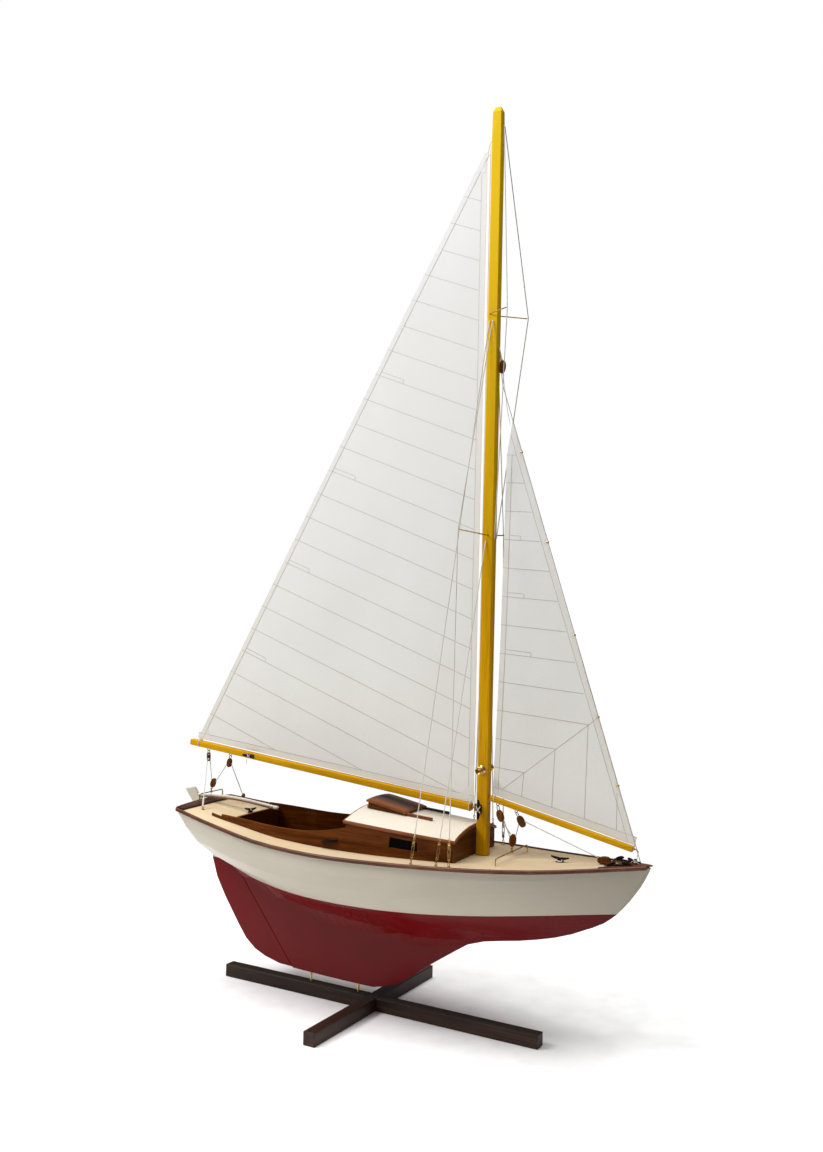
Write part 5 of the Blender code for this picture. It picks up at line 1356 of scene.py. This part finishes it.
def build_deck_fittings():
    """Sheet eye with its splice, lead and bow blocks, and two cleats with their falls."""
    brass = Piece()
    ex, ey = DECK_EYE
    ez = top_of("deck", ex, ey)
    brass.turned(((0.0024, 0.0), (0.0024, 0.0006), (0.0009, 0.0010), (0.0007, 0.0020)), (ex, ey, ez),
                 (0, 0, 1))
    brass.torus((ex, ey, ez + 0.0036), (0.3, 1, 0), 0.0021, 0.0006)
    dome_x = 0.3690
    brass.turned(((0.0034, 0.0), (0.0031, 0.0014), (0.0020, 0.0028), (0.0006, 0.0034)),
                 (dome_x, 0.0, top_of("deck", dome_x, 0.0) + 0.0012), (0, 0, 1))
    brass.done("deck_brass", ("bright_brass",), BOAT, "brass")
    served = Piece()
    base = Vector((ex, ey, ez + 0.0052))
    toward = (Vector((-0.3280, -0.0025, 0.3470)) - base).normalized()
    served.tube([base, base + toward * 0.003, base + toward * 0.013, base + toward * 0.0165], 0.0011, 0, 10,
                (0.0010, 0.0015, 0.0013, 0.0007))
    served.done("sheet_splice", ("cord",), BOAT, "cord_off_white")
    wooden = Piece()
    lx, ly = LEAD_BLOCK
    lz = top_of("deck", lx, ly)
    add_block(wooden, (lx, ly, lz + 0.0068), 0.2, 0.6, 0.72)
    wooden.turned(((0.0030, 0.0), (0.0030, 0.0008), (0.0014, 0.0014), (0.0012, 0.0020)), (lx, ly, lz),
                  (0, 0, 1), 2, 14)
    bx = 0.3555
    bz = top_of("deck", bx, 0.0)
    add_block(wooden, (bx, 0.0, bz + 0.0056), 1.42, 0.0, 1.12)
    wooden.torus((bx + 0.0096, 0.0, bz + 0.0038), (0, 1, 0), 0.0015, 0.0006, 1)
    wooden.done("deck_blocks", ("block", "bright_brass", "dark"), BOAT, "block_wood")
    for name, length, turn in (("cockpit_cleat", 0.0190, 0.90), ("foredeck_cleat", 0.0260, 0.0)):
        low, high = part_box(name)
        middle = (low + high) / 2.0
        add_horn_cleat(name + "_horned", (middle.x, middle.y, low.z - 0.0004),
                       (math.cos(turn), math.sin(turn), 0.0),
                       (0.0, 0.0, 1.0), length, 0.0046, BOAT, (name,))
    falls = Piece()
    low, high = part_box("foredeck_cleat")
    x, z = (low.x + high.x) / 2.0, low.z
    for way in (-1.0, 1.0):
        falls.tube([(x - 0.0042, 0.0026 * way, z + 0.0020), (x, -0.0004 * way, z + 0.0076),
                    (x + 0.0042, 0.0026 * way, z + 0.0020)], 0.0006)
        falls.tube([(x - 0.0042, 0.0030 * way, z + 0.0014), (x, 0.0034 * way, z + 0.0012),
                    (x + 0.0042, 0.0030 * way, z + 0.0014)], 0.0006)
    low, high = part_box("cockpit_cleat")
    x, z = (low.x + high.x) / 2.0, low.z
    falls.tube([(x - 0.0026, 0.0030, z + 0.0040), (x, -0.0006, z + 0.0072),
                (x + 0.0034, -0.0028, z + 0.0036)], THIN)
    falls.done("deck_falls", ("thin_cord",), BOAT, "cord_off_white")


def build_tiller():
    """Rudder stock, and a laminated tiller with a brown core and a rounded grip."""
    knots = ((-0.348, 0.2802), (-0.317, 0.2818), (-0.259, 0.2826), (-0.219, 0.2795), (-0.184, 0.2765))
    fit = np.polyfit([k[0] for k in knots], [k[1] for k in knots], 4)
    for name, finish, share, lift, wide, stands in (("tiller_upper", "tiller", 0.62, 0.19, 1.0, ("tiller",)),
                                                    ("tiller_lower", "tiller_core", 0.38, -0.31, 0.95, ())):
        piece = Piece()
        stations = []
        for k in range(17):
            t = k / 16.0
            x = knots[0][0] + (knots[-1][0] - knots[0][0]) * t
            deep = 0.0062 + (0.0056 - 0.0062) * t
            broad = 0.0038 + 0.0014 * min(1.0, t * 5.0)
            grow = 0.7 if k == 16 else 1.0
            z = float(np.polyval(fit, x)) + lift * deep
            stations.append(((x, 0.0, z), broad * wide * grow, deep * share * grow))
        piece.bar(stations, 0, 0.32)
        piece.done(name, (finish,), "rudder", "tiller_pale_wood", stands, 40.0)
    knob = Piece()
    knob.turned(((0.0014, -0.0080), (0.0030, -0.0060), (0.0034, -0.0030), (0.0033, -0.0006), (0.0026, 0.0010),
                 (0.0012, 0.0019)), (knots[-1][0] - 0.0006, 0.0, knots[-1][1]), (1.0, 0.0, -0.10), 0, 20)
    knob.done("tiller_grip", ("tiller",), "rudder", "tiller_pale_wood", (), 60.0)
    foot, head = (Vector((x, 0.0, z)) for x, z in RUDDER_AXIS)
    stock = Piece()
    stock.tube([foot.lerp(head, t) for t in (0.02, 0.35, 0.65, 0.94)], 0.0016, 0, 14)
    stock.done("rudder_stock", ("hull",), "rudder", "rudder_paint", (), 60.0)


# ---------------------------------------------------------------- bow
STEM = ((0.4204, 0.2668), (0.4171, 0.2589), (0.4128, 0.2503), (0.4082, 0.2419), (0.4035, 0.2345),
        (0.3929, 0.2196), (0.3848, 0.2096), (0.3767, 0.2006), (0.3672, 0.1920), (0.3574, 0.1845),
        (0.3405, 0.1753), (0.3236, 0.1680))


def bow_half(x):
    """Half width of the deck near the stem."""
    return 0.0030 + (BOW_X - x) * 0.0275 / 0.0580


def build_stem():
    """Stem timber that carries the bow's curve, painted with the hull."""
    curve = [Vector((x, 0.0, z)) for x, z in STEM]
    nose = ((0.0065, 0.0031), (0.0028, 0.0024), (0.0006, 0.0012))
    rings = []
    for x, _, z in dense(curve, 0.006):
        left = [(x - back, -half, z) for back, half in nose]
        rings.append(left + [(x, 0.0, z)] + [(px, -py, pz) for px, py, pz in reversed(left)])
    piece = Piece()
    piece.loft(rings, 0)
    piece.done("stem_timber", ("hull",), BOAT, "hull_paint", (), 40.0)


def build_bow():
    """Breasthook at the stem, a horned fairlead on each side, and the tack line on its bow fitting."""
    hook = Piece()
    for side in (-1.0, 1.0):
        rings = []
        for x in [*np.linspace(0.3580, 0.4120, 13), BOW_X, BOW_TIP]:
            inner = max(0.0, bow_half(x) - 0.0042 - 1.1 * max(0.0, x - 0.362))
            outer = bow_half(x) - 0.0002 if x < 0.412 else 0.0062 * (BOW_TIP - x) / (BOW_TIP - 0.412) + 0.0004
            z = top_of("deck", min(x, 0.410), 0.4 * bow_half(min(x, 0.410))) + 0.10 * max(0.0, x - 0.410)
            rings.append([(x, side * inner, z + 0.0001), (x, side * outer, z + 0.0001),
                          (x, side * outer, z + 0.0020), (x, side * inner, z + 0.0023)])
        hook.loft(rings, 0)
    hook.done("bow_breasthook", ("rail",), BOAT, "rail_brown_wood", (), 30.0)
    for side, label in ((-1.0, "starboard"), (1.0, "port")):
        piece = Piece()
        a = Vector((0.3630, side * 0.0222, 0.0))
        b = Vector((0.3985, side * 0.0070, 0.0))
        a.z = b.z = top_of("deck", 0.3800, side * 0.012) + 0.0021
        b.z += 0.0012
        up = Vector((0.0, 0.0, 1.0))

        def at(t, rise=0.0):
            return a.lerp(b, t) + up * rise

        piece.bar([(at(0.0, 0.0003), 0.0030, 0.0010), (at(0.05, 0.0006), 0.0040, 0.0018),
                   (at(0.5, 0.0008), 0.0042, 0.0022), (at(0.95, 0.0006), 0.0040, 0.0018),
                   (at(1.0, 0.0003), 0.0030, 0.0010)], 0, 0.35)
        for near, far in ((0.10, 0.40), (0.90, 0.60)):
            piece.tube([at(near, 0.0008), at(near + (far - near) * 0.30, 0.0022),
                        at(near + (far - near) * 0.60, 0.0036),
                        at(near + (far - near) * 0.85, 0.0042), at(far, 0.0043)], 0.0015, 0, 10,
                       (0.0022, 0.0024, 0.0022, 0.0019, 0.0012))
        piece.done("bow_fairlead_" + label, ("dark",), BOAT, "dark_wood",
                   ("bow_chock",) if side < 0 else (), 60.0)
    fitting = Piece()
    x = 0.3990
    z = top_of("deck", x, 0.0) + 0.0022
    fitting.turned(((0.0030, 0.0), (0.0030, 0.0012), (0.0016, 0.0020), (0.0014, 0.0040), (0.0024, 0.0052),
                    (0.0022, 0.0064), (0.0008, 0.0070)), (x, 0.0, z), (0, 0, 1), 0, 16)
    fitting.tube([(x - 0.0070, 0.0, z + 0.0030), (x + 0.0070, 0.0, z + 0.0030)], 0.0011, 0, 10)
    fitting.done("bow_bitt", ("dark",), BOAT, "dark_wood", (), 60.0)
    turns = Piece()
    for k in range(4):
        turns.torus((x, 0.0, z + 0.0022 + 0.0009 * k), (0.1, 0.0, 1.0), 0.0021, THIN, 0, 8, 18)
    turns.tube([(x - 0.0060, -0.0014, z + 0.0018), (x - 0.0010, -0.0022, z + 0.0046),
                (x + 0.0050, -0.0012, z + 0.0014)], THIN)
    tip = Vector((JIB_FORE[0] + 0.0066, 0.0, jib_boom_z(JIB_FORE[0]) - 0.0030))
    turns.tube([(x + 0.0018, 0.0, z + 0.0052), tip], THIN)
    turns.done("bow_turns", ("thin_cord",), BOAT, "cord_off_white")


# ---------------------------------------------------------------- CAD nodes that stay
def finish_nodes():
    """Better finishes on the CAD nodes that stay, with small rounded edges."""
    looks = {"stand_beam_long": ("stand_x", 0.0006), "stand_beam_cross": ("stand_y", 0.0006),
             "stand_pin_aft": ("brass", 0.0), "stand_pin_fore": ("brass", 0.0), "hull_shell": ("hull", 0.0),
             "ballast_weight": ("lead", 0.0), "deck": ("deck", 0.0), "rail_starboard": ("rail", 0.0),
             "rail_port": ("rail", 0.0), "transom_cap": ("cap", 0.0003),
             "coaming_starboard": ("mahogany", 0.0003),
             "coaming_port": ("mahogany", 0.0003), "cockpit_aft_coaming": ("mahogany_y", 0.0003),
             "cockpit_sole": ("mahogany", 0.0), "cabin_bulkhead": ("mahogany_y", 0.0003),
             # The port hatch runner takes the darker cap finish and the starboard one the lighter moulding:
             # painted shade on the port runner.
             "cabin_front": ("mahogany_y", 0.0003), "hatch_runner_starboard": ("mahogany_light", 0.0004),
             "hatch_runner_port": ("cap", 0.0004), "mast": ("spar_z", 0.0004),
             "gooseneck": ("bright_brass", 0.0002),
             "spreaders": ("brass", 0.0), "jumper_strut": ("brass", 0.0), "main_sheet_horse": ("brass", 0.0),
             "jib_sheet_horse": ("brass", 0.0), "rudder": ("hull", 0.0004),
             "servo_tray": ("ply", 0.0), "battery_pack": ("black", 0.0004), "receiver": ("grey", 0.0004),
             "rudder_servo": ("black", 0.0004), "servo_arm": ("grey", 0.0002)}
    for name, (finish, edge) in looks.items():
        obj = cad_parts[name]
        for slot in obj.material_slots:
            slot.link = "OBJECT"
            slot.material = M[finish]
        if edge:
            weld = obj.modifiers.new("Weld", "WELD")
            weld.merge_threshold = SAME_POINT
            bevel = obj.modifiers.new("Round", "BEVEL")
            bevel.width = edge
            bevel.segments = 2
            bevel.limit_method = "ANGLE"
            bevel.angle_limit = BEVEL_ANGLE
            bevel.harden_normals = True


build_camera()
build_materials()
build_studio()
build_shrouds()
build_stays()
build_sheets()
build_mainsail()
build_jib()
build_main_boom()
build_jib_boom()
build_hanks()
build_travellers()
build_mast_fittings()
build_roof()
build_hatch()
build_cockpit_details()
build_deck_fittings()
build_stem()
build_bow()
build_tiller()
finish_nodes()
